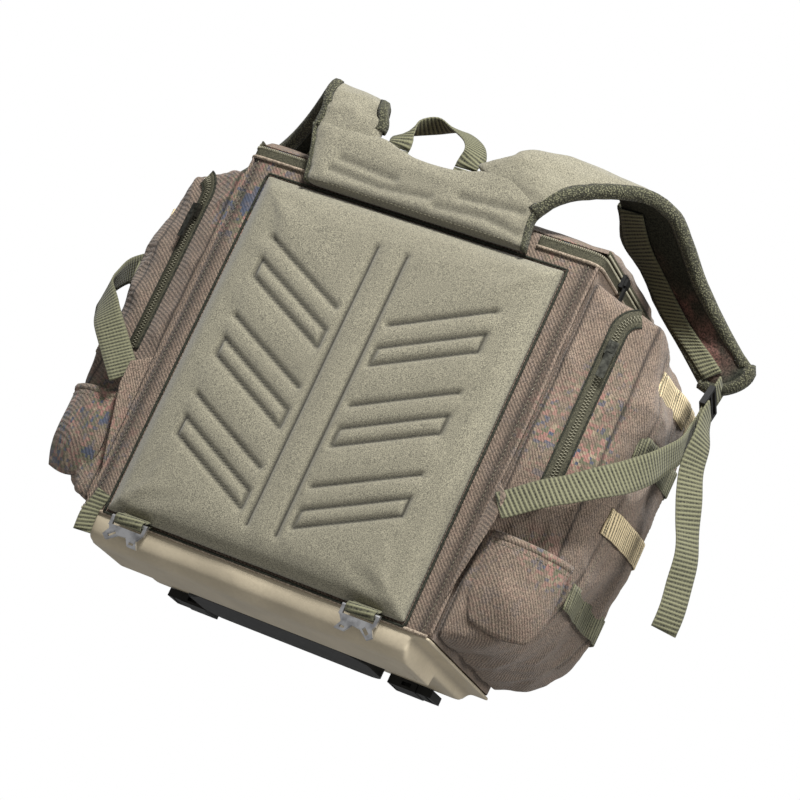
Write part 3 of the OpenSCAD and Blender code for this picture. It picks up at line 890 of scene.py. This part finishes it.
class BACKPACK_OT_panel(Operator):
    """Make the foam back panel with its sewn channels, and the yoke above it"""
    bl_idname = "backpack.panel"
    bl_label = "Back Panel"

    def execute(self, context):
        obj = stuffed("back_panel", "back_panel_padding", "khaki_knit", padding().panel_rise,
                      lambda p: p[:, 1] > PANEL_HIGH[1] - 2.5)
        points = get_points(obj)
        away = away_from(points[:, [0, 2]], channel_lines())
        back = points[:, 1] < PANEL_LOW[1] + 9
        push(obj, np.where(back, -padding().channel_depth * fade(away, 2.6) - 1.6 * fade(away, 11)
                           + creases(points, 70, 0.5, seed=3), 0))
        # Painted shade: darker in the sewn channels and towards the panel's edges.
        edge = np.minimum(points - PANEL_LOW, PANEL_HIGH - points)[:, [0, 2]].min(1)
        paint_seam_shade(obj, np.where(back, 0.9 * fade(away, 1.6), 0) + 0.45 * fade(edge + 3, 4))
        attach(obj, "pack", "khaki_knit_foam", "back_panel")
        self.make_yoke()
        return {"FINISHED"}

    def make_yoke(self):
        yoke = stuffed("yoke_pad", "yoke_padding", "khaki_knit", 1.8,
                       lambda p: p[:, 1] > YOKE_HIGH[1] - 2, coarser=-0.5)
        points = get_points(yoke)
        folds = [[(-96, 412), (-40, 409), (10, 414)], [(20, 408), (72, 412), (108, 407)],
                 [(-90, 425), (-30, 421)], [(40, 424), (104, 428)]]
        away = away_from(points[:, [0, 2]], folds)
        back = points[:, 1] < YOKE_LOW[1] + 8
        waves = creases(points, 55, 1.1, (0.5, 1, 1.6))
        push(yoke, np.where(back, waves - 2.4 * fade(away, 4.5), 0))
        # Painted shade in the yoke's folds and along its lower edge.
        paint_seam_shade(yoke, np.where(back, 0.4 * fade(away, 2.6), 0)
                   + 0.5 * fade(points[:, 2] - YOKE_LOW[2], 5))
        attach(yoke, "pack", "khaki_knit_foam", "yoke_pad")

        for name, ends in (("left", [(-117, 395), (-124, 424), (-134, 452)]),
                           ("right", [(118, 395), (113, 424), (118, 438)])):
            route = smooth_line([(x, -130.5, z) for x, z in ends], 8)
            attach(tube(f"{name}_yoke_binding", route, 7.6, look("edge_tape"), 12, 0.4, (1, 0, 0)),
                   "pack", "green_webbing")
        hem = np.array([(x, -130.0, YOKE_LOW[2] + 3.5) for x in np.linspace(-108, 110, 60)])
        attach(sew("yoke_seam_stitches", [Surface(yoke).drop(hem, (0, -1, 0))]),
               "pack", "khaki_knit_foam")


def corners(inset, step):
    """The body's rounded corners from above, anticlockwise from the back's right end."""
    half, back, front = HALF_W - inset - CORNER, BACK_Y + inset + CORNER, FRONT_Y - inset - CORNER
    return [(x + CORNER * math.cos(math.radians(a)), y + CORNER * math.sin(math.radians(a)))
            for x, y, start in ((half, back, -90), (half, front, 0),
                                (-half, front, 90), (-half, back, 180))
            for a in range(start, start + 91, step)]


class BACKPACK_OT_body(Operator):
    """Make the main body's cloth shell, its piping, the coated base and the base fittings"""
    bl_idname = "backpack.body"
    bl_label = "Body and Base"

    def execute(self, context):
        self.make_shell()
        self.make_piping()
        tub = copy_of("base_tub", "base_coated_cloth", "coated_cloth")
        even_mesh(tub, 3.0)
        soften(tub, 4)
        points = get_points(tub)
        outside = (points[:, 2] < TUB_TOP - 1) & (points[:, 1] < BACK_Y + 30)
        push(tub, np.where(outside, creases(points, 60, 0.8, (0.5, 1, 1)), 0))
        refine(tub)
        attach(tub, "pack", "tan_coated_fabric", "base_tub")
        rim = np.array([(x, BACK_Y - 1.2, TUB_TOP - 0.6)
                        for x in np.linspace(-HALF_W + 3, HALF_W - 3, 90)])
        attach(tube("base_rim_piping", rim, 1.8, look("pale_piping"), normals=(0, 1, 0)),
               "pack", "tan_coated_fabric")
        for node, bevel in (("base_pad", 3), ("base_board", 0.5), ("frame_sheet", 0.5),
                            ("left_buckle_female", 0.9), ("left_buckle_male", 0.9),
                            ("right_buckle_female", 0.9), ("right_buckle_male", 0.9)):
            dress(node, "black_moulding", bevel)
        return {"FINISHED"}

    def make_shell(self):
        plan = [(x, y, 0) for x, y in corners(0, 9)]
        loop = even_line(np.array(plan + plan[:1], float), 7)[:-1]
        middle = np.array([0, (BACK_Y + FRONT_Y) / 2, 0])
        inward = unit((middle - loop) * (abs(middle - loop) > (HALF_W - 20, 80, 0)))
        free = np.clip((loop[:, 1] - BACK_Y) / 30, 0.1, 1)
        levels = np.linspace(TUB_TOP + 0.4, WALL_TOP, 64)
        outer = []
        for z, belly in zip(levels, np.sin(np.linspace(0, math.pi, len(levels))) * 4.0):
            ring = loop + (0, 0, z)
            folds = min(1, (WALL_TOP - z) / 40) * creases(ring, 60, 2.4, (1, 1, 0.6))
            outer.append(ring - inward * (free * (belly + folds))[:, None])
        inner = [loop + (0, 0, z) + inward * 3.6 for z in levels[::-1]]
        shell = skin("body_cloth", outer + inner + outer[:1], np.linspace(0, 1, len(loop)),
                     look("brown_twill"), capped=False)
        points = get_points(shell)
        # Painted shade along the seams at the back corners.
        seam = np.hypot(abs(points[:, 0]) - (HALF_W - 9), points[:, 1] - BACK_Y)
        paint_seam_shade(shell, 0.75 * fade(seam, 6))
        places, normals = get_faces(shell)
        facing = np.einsum("ij,ij->i", places - middle, normals * (1, 1, 0))
        second_finish(shell, "dark_lining", facing < 0)
        attach(shell, "pack", "brown_fabric", "back_wall", "front_wall", "left_gusset",
               "right_gusset")

    def make_piping(self):
        lines = []
        for name, side in SIDES:
            route = np.array([(side * (HALF_W - 2.4), BACK_Y + 2.2, z)
                              for z in np.linspace(TUB_TOP + 2, 405, 90)])
            route[:, 0] += np.sin(route[:, 2] / 31) * 0.6
            attach(tube(f"{name}_corner_piping", route, 1.7, look("brown_twill"),
                        normals=(0, 1, 0)), "pack", "brown_fabric")
            lines.append((route + (-side * 7, -3.0, 0), np.tile((0, -1.0, 0), (len(route), 1))))
        attach(sew("panel_strip_stitches", lines, 4.2, (2.6, 0.8, 0.7)), "pack", "brown_fabric")
        side, low, high = PANEL_HIGH[0] + 1, PANEL_LOW[2], PANEL_HIGH[2]
        border = np.array([(x, BACK_Y - 2.4, z) for x, z in (
            (-side, low), (-side, high), (side, high), (side, low), (-side, low))])
        attach(tube("panel_piping", even_line(border, 6), 1.3, look("dark_lining"),
                    normals=(0, 1, 0)), "pack", "khaki_knit_foam")


def slant_point(side, u, off, z):
    """A place on the slanted pocket wall: u along it, off away from it."""
    x = HALF_W + u * math.cos(SLANT) + off * math.sin(SLANT)
    y = BACK_Y + 2 + u * math.sin(SLANT) - off * math.cos(SLANT)
    return np.array((side * x, y, z))


def on_slant(points):
    """How far along the slanted pocket wall and how far away from it each point lies."""
    x, y = abs(points[:, 0]) - HALF_W, points[:, 1] - BACK_Y - 2
    return (x * math.cos(SLANT) + y * math.sin(SLANT),
            x * math.sin(SLANT) - y * math.cos(SLANT))


def beside_zip(points):
    """How far to either side of a side pocket's zip each point lies, or far off its wall."""
    u, off = on_slant(points)
    turn = np.clip(points[:, 2] - ZIP_TOP, 0, ZIP_BEND)
    middle = ZIP_U + ZIP_BEND - np.sqrt(ZIP_BEND ** 2 - turn ** 2)
    heights = (points[:, 2] > ZIP_LOW - 12) & (points[:, 2] < ZIP_TOP + ZIP_BEND + 8)
    return np.where((off > -9) & heights, abs(u - middle), 99)


class BACKPACK_OT_pockets(Operator):
    """Make the side pockets with their zips, webbing bands, bottle pockets and harness anchors"""
    bl_idname = "backpack.pockets"
    bl_label = "Side Pockets"

    def execute(self, context):
        for name, side in SIDES:
            surface = Surface(self.make_cloth(name, side))
            out = slant_point(side, 0, 1, 0) - slant_point(side, 0, 0, 0)
            self.make_zip(name, side, surface, out)
            self.make_bands(name, side, surface)
            seams = []
            for low, high, y in ((52, 366, 38), (70, 372, -50)):
                route = np.array([(side * (HALF_W + 80), y, z) for z in np.linspace(low, high, 60)])
                seams.append(surface.drop(route, (side, 0, 0)))
            attach(sew(f"{name}_pocket_stitches", seams, 4.4, (2.8, 0.8, 0.6)),
                   "pack", "brown_fabric")
            self.make_pouch(name, side, out)
            anchor = copy_of(f"{name}_wing_anchor", f"{name}_harness_anchor", "brown_twill")
            even_mesh(anchor, 0.9)
            soften(anchor)
            attach(anchor, "pack", "camo_fabric", f"{name}_wing_anchor")
        return {"FINISHED"}

    def make_cloth(self, name, side):
        pocket = stuffed(f"{name}_side_pocket", f"{name}_pocket_cloth", "brown_twill",
                         padding().pocket_rise,
                         lambda p: (abs(p[:, 0]) < HALF_W + 4) | (beside_zip(p) < 12),
                         coarser=0.5, hull=True, rounds=10)
        points = get_points(pocket)
        outer = abs(points[:, 0]) > HALF_W + 3
        seam = away_from(points[:, [1, 2]], [[(44, 60), (44, 360)], [(-58, 70), (-58, 372)]])
        rim = np.where(abs(points[:, 0]) > HALF_W + 60, fade(seam, 2.2), 0)
        calm = np.clip((beside_zip(points) - 9) / 16, 0, 1)
        folds = (creases(points, 52, 4.2, (1, 1, 0.7), side * 5)
                 + creases(points, 20, 1.3, (1, 1, 0.7), 9))
        push(pocket, np.where(outer, calm * folds - 1.6 * rim, 0))
        u, off = on_slant(points)
        # Painted shade along the rim seams and the wall's two seam lines.
        seams = np.minimum(abs(u - 5), np.where(points[:, 2] > 60, abs(u - 74), 99))
        paint_seam_shade(pocket, 0.5 * rim + np.where((off > -12) & outer, 0.8 * fade(seams, 1.8), 0))
        attach(pocket, "pack", "brown_fabric", f"{name}_side_pocket")
        return pocket

    def make_zip(self, name, side, surface, out):
        straight = [(ZIP_U, z) for z in np.linspace(ZIP_LOW, ZIP_TOP, 34)]
        bend = [(ZIP_U + ZIP_BEND - ZIP_BEND * math.cos(a), ZIP_TOP + ZIP_BEND * math.sin(a))
                for a in np.linspace(0.1, 1.25, 10)]
        route = np.array([slant_point(side, u, 0, z) for u, z in straight + bend])
        place, normal = surface.drop(even_line(route, 3), out)
        normal = even_normals(normal, 8)
        way = tangents(place)
        attach(lay_strip(f"{name}_pocket_zip_tape", place, normal, 15, 1.0, look("zip_cloth")),
               "pack", "zip_coil_tape", f"{name}_pocket_zip")
        at = np.arange(1, run_length(place)[-1], 1.5)
        spots, ups, ways = sampled(at, place, place, normal, way)
        attach(coil(f"{name}_pocket_zip_teeth", spots + ups * 1.7, unit(np.cross(ups, ways)), ups),
               "pack", "zip_coil_tape")
        across = unit(np.cross(normal, way))
        # Dark cords each side of the zip: partly piping, partly painted shade along the zip's
        # flaps.
        for k, shift in enumerate((-8.2, 8.2)):
            attach(tube(f"{name}_pocket_zip_piping_{k}", place + across * shift + normal * 0.6,
                        1.1, look("dark_lining"), normals=(0, -1, 0.1)), "pack", "brown_fabric")
        dress(f"{name}_pocket_slider", "zip_metal_dark", 0.7)

    def make_pouch(self, name, side, out):
        low, high = limits(f"{name}_wing_pocket")
        share = np.linspace(0, 1, 25)
        arch = np.sin(math.pi * np.clip(share, 0.004, 0.996)) ** 0.6
        rings = []
        for v in np.linspace(0, 1, 24):
            z = low[2] - 2 + v * (high[2] - low[2] + 2)
            stand = POUCH_DEEP * arch * math.sin(min(1, v * 1.9) * math.pi / 2)
            wide = POUCH_WIDE * (0.72 + 0.28 * math.sin(min(1, v * 2.6) * math.pi / 2))
            sheet = np.array([slant_point(side, POUCH_U + wide * (w - 0.5), 2 + off,
                                          z + 5 * math.sin(math.pi * w) * (v - 1))
                              for w, off in zip(share, stand)])
            sheet += out * creases(sheet, 34, 1.8, (1, 1, 0.8), 2)[:, None]
            rings.append(np.vstack([sheet, (sheet - out * 2.4)[::-1]]))
        attach(skin(f"{name}_bottle_pocket", rings, np.concatenate([share, share[::-1]]),
                    look("camo_twill")), "pack", "camo_fabric", f"{name}_wing_pocket")
        hem = even_line(rings[-1][:len(share)] - out * 1.2, 3)
        attach(tube(f"{name}_bottle_pocket_hem", hem, 2.4, look("brown_twill"), flat=1.6,
                    normals=(0, 0, 1)), "pack", "camo_fabric")
        line = even_line(rings[-3][:len(share)] + out * 0.3, 3)
        attach(sew(f"{name}_bottle_pocket_stitches", [(line, np.tile(out, (len(line), 1)))],
                   4.2, (2.6, 0.8, 0.7)), "pack", "camo_fabric")

    def make_bands(self, name, side, surface):
        bands = []
        for index, height in enumerate(BAND_HEIGHTS):
            ys = np.linspace(BAND_BACK, BAND_FRONT, 45)
            route = np.array([(side * (HALF_W + 75), y, height) for y in ys])
            place, normal = surface.drop(route, (side, 0, 0))
            normal = even_normals(unit(normal * (1, 1, 0.2)), 6)
            way = tangents(place)
            bulge = np.abs(np.sin((ys - BAND_BACK) / 44 * math.pi)) ** 0.5
            finish = look("tan_webbing" if index % 2 else "harness_webbing")
            bands.append(lay_strip("band", place, normal, 26, 1.5, finish, 0.2 + bulge))
            tacks = []
            for y in (-62, -20, 24, 66):
                k = int(np.argmin(abs(ys - y)))
                for shift in (-1.2, 1.2):
                    middle = place[k] + way[k] * shift + normal[k] * 2.0
                    line = [middle + (0, 0, t) for t in np.linspace(-11.5, 11.5, 8)]
                    tacks.append((np.array(line), np.tile(normal[k], (8, 1))))
            bands.append(sew("tacks", tacks, 2.4, (1.9, 0.8, 0.8)))
        attach(join(f"{name}_webbing_bands", bands), "pack", "band_webbing", f"{name}_molle_bands")


class BACKPACK_OT_front_pocket(Operator):
    """Make the pocket on the side away from the harness"""
    bl_idname = "backpack.front_pocket"
    bl_label = "Front Pocket"

    def execute(self, context):
        pocket = stuffed("front_pocket", "front_pocket_cloth", "brown_twill", 5,
                         lambda p: p[:, 1] < FRONT_Y + 4, coarser=0.5, hull=True, rounds=8)
        points = get_points(pocket)
        folds = creases(points, 52, 2.2, (1, 1, 1.4), 6)
        push(pocket, np.where(points[:, 1] > FRONT_Y + 4, folds, 0))
        attach(pocket, "pack", "brown_fabric", "front_pocket")
        low, high = limits("front_pocket_zip")
        route = np.array([(x, high[1], (low[2] + high[2]) / 2)
                          for x in np.linspace(low[0], high[0], 80)])
        place, normal = Surface(pocket).drop(route, (0, 1, 0))
        normal = even_normals(unit(normal * (1, 1, 0)), 6)
        attach(lay_strip("front_pocket_zip_tape", place, normal, 15, 1.0, look("zip_cloth")),
               "pack", "zip_coil_tape", "front_pocket_zip")
        at = np.arange(1, run_length(place)[-1], 1.6)
        spots = sampled(at, place, place)[0] + (0, 1.8, 0)
        attach(coil("front_pocket_zip_teeth", spots, np.tile((0, 0, 1.0), (len(at), 1)),
                    np.tile((0, 1.0, 0), (len(at), 1))), "pack", "zip_coil_tape")
        dress("front_pocket_slider", "zip_metal_dark", 0.7)
        return {"FINISHED"}


def rim_route(z, inset, gap):
    """A line round the body's top, open at the back between -gap and gap."""
    ends = [[(side * gap, BACK_Y + inset, z)] for side in (1, -1)]
    return np.array(ends[0] + [(x, y, z) for x, y in corners(inset, 15)] + ends[1], float)


class BACKPACK_OT_lid(Operator):
    """Make the padded lid with its zip, the band it closes on, and the sliders"""
    bl_idname = "backpack.lid"
    bl_label = "Lid"

    def execute(self, context):
        lid = stuffed("lid", "lid_cloth", "brown_twill", 3, lambda p: p[:, 2] < LID_Z + 4,
                      hull=True, rounds=5)
        points = get_points(lid)
        push(lid, np.where(points[:, 2] > LID_Z + 8, creases(points, 60, 1.8, seed=1), 0))
        second_finish(lid, "dark_lining", get_faces(lid)[1][:, 2] < -0.8)
        attach(lid, "lid", "brown_fabric", "lid")
        route = even_line(rim_route(BODY_BAND_Z, -0.6, RIM_GAP), 4)
        self.make_rim("body_zip_band", "pack", route, 11.6, 1, "body_zip_tape")
        route = even_line(rim_route(LID_BAND_Z, -0.6, LID_BAND_GAP), 4)
        route = route[route[:, 1] > LID_BAND_BACK]
        self.make_rim("lid_zip_band", "lid", route, 6.0, -1, "lid_zip_tape")
        route = even_line(rim_route(PIPING_Z, -1.4, RIM_GAP), 5)
        attach(tube("body_rim_piping", route, 1.7, look("pale_piping")), "pack", "brown_fabric")
        for name, _ in SIDES:
            dress(f"{name}_lid_slider", "black_moulding", 0.8)
        return {"FINISHED"}

    def make_rim(self, name, body, route, width, edge, node):
        """A zip's tape along the route, with teeth at its upper edge (1) or lower edge (-1)."""
        up = np.tile((0, 0, 1.0), (len(route), 1))
        out = unit(np.cross(tangents(route), up))
        band = strip(name, route, up, out, width, 1.6, look("zip_cloth"))
        at = np.arange(1, run_length(route)[-1], 2.0)
        spots, outs = sampled(at, route, route, out)
        spots = spots + (0, 0, edge * (width / 2 - 1.6)) + outs * 1.0
        teeth = coil("teeth", spots, np.tile((0, 0, 1.0), (len(at), 1)), outs, 0, (3.2, 1.5, 1.6))
        attach(join(name, [band, teeth]), body, "zip_coil_tape", node)


class BACKPACK_OT_straps(Operator):
    """Make the padded shoulder straps with their bound edges and the webbing sewn under them"""
    bl_idname = "backpack.straps"
    bl_label = "Shoulder Straps"

    def execute(self, context):
        for name, side in SIDES:
            a, b = [np.vstack([np.array(edge[:1], float) + root, edge])
                    for edge, root in zip(PAD_EDGES[name], PAD_ROOT[name])]
            a, b = smooth_line(a, 5), smooth_line(b, 5)
            up = unit(np.cross(b - a, tangents((a + b) / 2)))
            for obj in (self.make_pad(name, a, b, up), self.make_binding(name, a, b, up)):
                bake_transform(obj)
            self.make_sewn_webbing(name, side)
        return {"FINISHED"}

    def make_pad(self, name, a, b, up):
        """The padding between the edges a and b, with its root carried on into the yoke."""
        share = np.linspace(0.03, 0.97, 15)
        crown = np.sqrt(np.clip(1 - (2 * share - 1) ** 6, 0.2, 1)) * (PAD_T / 2 - 0.8)
        share = np.concatenate([[0], share, [1], share[::-1]])
        offset = np.concatenate([[0], -crown, [0], crown[::-1]])
        middle = (a + b) / 2
        root = np.linalg.norm(np.mean(PAD_ROOT[name], axis=0))
        thick = 1 + 0.5 * fade(run_length(middle) - root, 15)
        rings = (a[:, None] + (b - a)[:, None] * share[None, :, None]
                 + up[:, None] * (offset[None] * thick[:, None])[..., None])
        last, way = rings[-1], tangents(middle)[-1]
        ends = [last * k + last.mean(0) * (1 - k) + way * PAD_TIP * math.sqrt(1 - k ** 2)
                for k in (0.97, 0.85, 0.6, 0.3)]
        pad = skin(f"{name}_shoulder_padding", np.concatenate([rings, ends]), share,
                   look("khaki_knit"))
        refine(pad)

        def nearest(points):
            return np.argmin(np.linalg.norm(points[:, None] - middle[None], axis=2), axis=1)

        places, normals = get_faces(pad)
        facing = np.einsum("ij,ij->i", normals, up[nearest(places)])
        second_finish(pad, "dark_lining", facing < 0)
        points = get_points(pad)
        near = nearest(points)
        reach = np.einsum("ij,ij->i", points - a[near], unit(b - a)[near])
        inside = np.minimum(reach, np.linalg.norm(b - a, axis=1)[near] - reach)
        swell(pad, padding().strap_rise * 0.6, (inside < 7) | (near < 6))
        waves = creases(points, 34, 1.8, (1, 1, 1.5), 4 if name == "left" else 8)
        push(pad, waves * np.clip(inside / 12, 0, 1))
        attach(pad, None, "khaki_knit_foam", f"{name}_shoulder_pad")
        return pad

    def make_binding(self, name, a, b, up):
        """Tape folded over both edges and round the tip; each section point is (inward, up)."""
        section = [(9, 0.95), (5, 1.06), (0, 0.95), (-2.2, 0.5), (-2.8, 0), (-2.2, -0.5),
                   (0, -0.95), (5, -1.06), (9, -0.95), (5, -0.8), (0, -0.7), (-0.8, 0), (0, 0.7),
                   (5, 0.8)]
        bands = []
        for k, (edge, inward) in enumerate(((a, unit(b - a)), (b, unit(a - b)))):
            first = {("right", 0): 30, ("left", 1): 5}.get((name, k), 1)
            line, toward, high = edge[first:], inward[first:], up[first:]
            wave = creases(line, 14, 1.6, seed=k)[:, None]
            rings = [line + toward * (w + wave * (0.5 if w > 3 else 0.2))
                     + high * (PAD_T / 2 * h) + high * wave * 0.4 for w, h in section]
            bands.append(skin("binding", np.stack(rings, 1), np.linspace(0, 1, len(section)),
                              look("edge_tape")))
        way = tangents((a + b) / 2)[-1]
        tip = np.array([a[-1] + (b[-1] - a[-1]) * t
                        + way * PAD_TIP * math.sqrt(max(0, 1 - (2 * t - 1) ** 2))
                        for t in np.linspace(0, 1, len(section))])
        bands.append(tube("tip", tip, 6.6, look("edge_tape"), flat=1.05, normals=tuple(up[-1])))
        binding = join(f"{name}_shoulder_binding", bands)
        attach(binding, None, "green_webbing")
        return binding

    def make_sewn_webbing(self, name, side):
        first, low, high = PAD_WEBBING[name]
        a, b = [smooth_line(edge[first:], 6) for edge in PAD_EDGES[name]]
        above = unit(np.cross(b - a, tangents((a + b) / 2)))
        share, offset = strip_section(WEB_T)
        rings = (a[:, None] + (b - a)[:, None] * (low + share * (high - low))[None, :, None]
                 + above[:, None] * (offset - PAD_T / 2 - 1.6)[None, :, None])
        under = skin("sewn", rings, share, look("harness_webbing"))
        x, z = side * LOCK_X, sum(edge[-1][2] for edge in PAD_EDGES[name]) / 2
        link = webbing("link", [(x, 34, z - 13), (x, 31.6, 371.5), (x, 28.3, 364.2)],
                       [(0, 0.91, -0.41)] * 3, WEB_W)
        attach(join(f"{name}_strap_webbing_cloth", [under, link]), f"{name}_strap",
               "green_webbing", f"{name}_strap_webbing")


class BACKPACK_OT_webbing(Operator):
    """Make the harness webbing, its ladder locks, the grab handle and the hooks at the base"""
    bl_idname = "backpack.webbing"
    bl_label = "Webbing and Fittings"

    def execute(self, context):
        for name, side in SIDES:
            strap = webbing(f"{name}_lower_webbing_cloth", *LOWER_WEBBING[name], WEB_W, slub=0.7)
            attach(strap, None, "green_webbing", f"{name}_lower_webbing")
            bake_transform(strap)
            attach(webbing(f"{name}_webbing_tail_cloth", *WEBBING_TAIL[name], WEB_W - 1, slub=1.2),
                   f"{name}_strap", "green_webbing", f"{name}_webbing_tail")
            dress(f"{name}_ladder_lock", "black_moulding", 1.2)
            dress(f"{name}_metal_hook", "hook_metal", 0.7)
            self.make_loop(name, side)
        attach(webbing("grab_handle_webbing", *HANDLE_WEBBING, HANDLE_W),
               "grab_handle", "green_webbing", "grab_handle")
        ends = [webbing("end", [(x, -119.3, z) for z in (WALL_TOP + 0.5, 440, 456.8)],
                        [(1, 0, 0)] * 3, HANDLE_W)
                for x in (HANDLE_WEBBING[0][0][0], HANDLE_WEBBING[0][-1][0])]
        attach(join("handle_ends", ends), "pack", "green_webbing", "handle_anchor")
        attach(webbing("hem_spare_webbing", *HEM_WEBBING, HEM_W),
               "pack", "green_webbing", "hem_tail")
        return {"FINISHED"}

    def make_loop(self, name, side):
        """Webbing folded round the hook's bar and sewn back on itself."""
        low, high = limits(f"{name}_hook_loop")
        bar = np.array(HOOK_BAR) * (side, 1, 1)
        arm = np.array((0, math.cos(math.radians(LOOP_TILT)), math.sin(math.radians(LOOP_TILT))))
        lift = np.array((0, -arm[2], arm[1]))
        turns = np.radians(np.linspace(40, 320, 15))
        line = ([bar + arm * t + lift * 2.4 for t in np.linspace(17, 4, 6)]
                + [bar + (arm * math.cos(a) + lift * math.sin(a)) * 4.6 for a in turns]
                + [bar + arm * t - lift * 2.4 for t in np.linspace(4, 17, 6)])
        loop = webbing("loop", line, [(1, 0, 0)] * len(line), high[0] - low[0], 1.6, 1.5, 0)
        across = np.linspace((-13, 0, 0), (13, 0, 0), 12)
        rows = [(bar + across + arm * t + lift * 3.4, np.tile(lift, (12, 1))) for t in (6.5, 8.5)]
        stitches = sew("rows", rows, 3, (2.2, 0.8, 0.7))
        attach(join(f"{name}_hook_loop_webbing", [loop, stitches]), "pack", "green_webbing",
               f"{name}_hook_loop")


class BACKPACK_OT_stage(Operator):
    """Set out the floor, the lights and the camera"""
    bl_idname = "backpack.stage"
    bl_label = "Stage"

    def execute(self, context):
        scene = context.scene
        studio = scene.backpack_studio
        a, e, roll = studio.azimuth, studio.elevation, studio.roll
        target = Vector((0.004, 0.011, 0.257))
        back = Vector((math.sin(a) * math.cos(e), -math.cos(a) * math.cos(e), math.sin(e)))
        level = Vector((math.cos(a), math.sin(a), 0))
        right = level * math.cos(roll) + back.cross(level) * math.sin(roll)
        up = back.cross(level) * math.cos(roll) - level * math.sin(roll)
        data = bpy.data.cameras.new("camera")
        data.lens = studio.lens
        data.sensor_width = 36
        camera = add_object("camera", data)
        camera.matrix_world = (Matrix.Translation(target + back * studio.distance)
                               @ Matrix((right, up, back)).transposed().to_4x4())
        scene.camera = camera
        self.make_floor()
        self.make_sky(scene)
        # The lights' places are to the right of the target, above it and towards the camera.
        for name, place, size, power in (("key", (0.7, 2.1, 1.3), 0.45, 98),
                                         ("fill", (2.1, 0.0, 1.1), 1.0, 30),
                                         ("low", (-0.6, -1.6, 1.6), 1.2, 8)):
            lamp = bpy.data.lights.new(name, "AREA")
            lamp.size = size
            lamp.energy = power
            spot = target + right * place[0] + up * place[1] + back * place[2]
            facing = (target - spot).to_track_quat("-Z", "Y").to_matrix().to_4x4()
            add_object(name, lamp).matrix_world = Matrix.Translation(spot) @ facing
        scene.view_settings.view_transform = "Standard"
        return {"FINISHED"}

    def make_floor(self):
        """A bright floor that is clear from below."""
        f = Finish("studio_floor", 0.9)
        f.shader.inputs["Emission Color"].default_value = (1, 1, 1, 1)
        f.shader.inputs["Emission Strength"].default_value = 0.4
        f.done(f.mix(f.grain(40, 3), (0.86, 0.86, 0.86), (0.9, 0.9, 0.9)), shade_seams=False)
        side = f.add("ShaderNodeNewGeometry").outputs["Backfacing"]
        clear = f.add("ShaderNodeBsdfTransparent").outputs[0]
        choice = f.add("ShaderNodeMixShader", {0: side, 1: f.shader.outputs[0], 2: clear})
        f.tree.links.new(choice.outputs[0], f.tree.nodes["Material Output"].inputs["Surface"])
        far = 9000
        floor = make_mesh("floor", [(-far, -far, 0), (far, -far, 0), (far, far, 0), (-far, far, 0)],
                          [(0, 1, 2, 3)], f.material)
        floor.visible_diffuse = floor.visible_glossy = floor.visible_shadow = False

    def make_sky(self, scene):
        """White to look at, and dimmer as a light."""
        world = bpy.data.worlds.new("studio")
        world.use_nodes = True
        nodes, links = world.node_tree.nodes, world.node_tree.links
        strength = nodes.new("ShaderNodeMapRange")
        strength.inputs["To Min"].default_value = 0.27
        strength.inputs["To Max"].default_value = 1.0
        seen = nodes.new("ShaderNodeLightPath").outputs["Is Camera Ray"]
        links.new(seen, strength.inputs["Value"])
        links.new(strength.outputs["Result"], nodes["Background"].inputs["Strength"])
        nodes["Background"].inputs["Color"].default_value = (1, 1, 1, 1)
        scene.world = world


ORDER = (BACKPACK_OT_stage, BACKPACK_OT_panel, BACKPACK_OT_body, BACKPACK_OT_pockets,
         BACKPACK_OT_front_pocket, BACKPACK_OT_lid, BACKPACK_OT_straps, BACKPACK_OT_webbing)
GROUPS = {"backpack_cloth": BackpackCloth, "backpack_padding": BackpackPadding,
          "backpack_studio": BackpackStudio}


class BACKPACK_PT_panel(bpy.types.Panel):
    """The backpack's settings and pieces"""
    bl_label = "Tackle Backpack"
    bl_idname = "BACKPACK_PT_panel"
    bl_space_type = "VIEW_3D"
    bl_region_type = "UI"
    bl_category = "Backpack"

    def draw(self, context):
        for step in ORDER:
            self.layout.operator(step.bl_idname)
        for name, group in GROUPS.items():
            box = self.layout.box()
            for setting in group.__annotations__:
                box.prop(getattr(context.scene, name), setting)


def register():
    for item in (*GROUPS.values(), *ORDER, BACKPACK_PT_panel):
        bpy.utils.register_class(item)
    for name, group in GROUPS.items():
        setattr(bpy.types.Scene, name, PointerProperty(type=group))


def unregister():
    for name in GROUPS:
        delattr(bpy.types.Scene, name)
    for item in (BACKPACK_PT_panel, *reversed(ORDER), *reversed(list(GROUPS.values()))):
        bpy.utils.unregister_class(item)


def main():
    register()
    for step in ORDER:
        group, name = step.bl_idname.split(".")
        getattr(getattr(bpy.ops, group), name)()


if __name__ == "__main__":
    main()
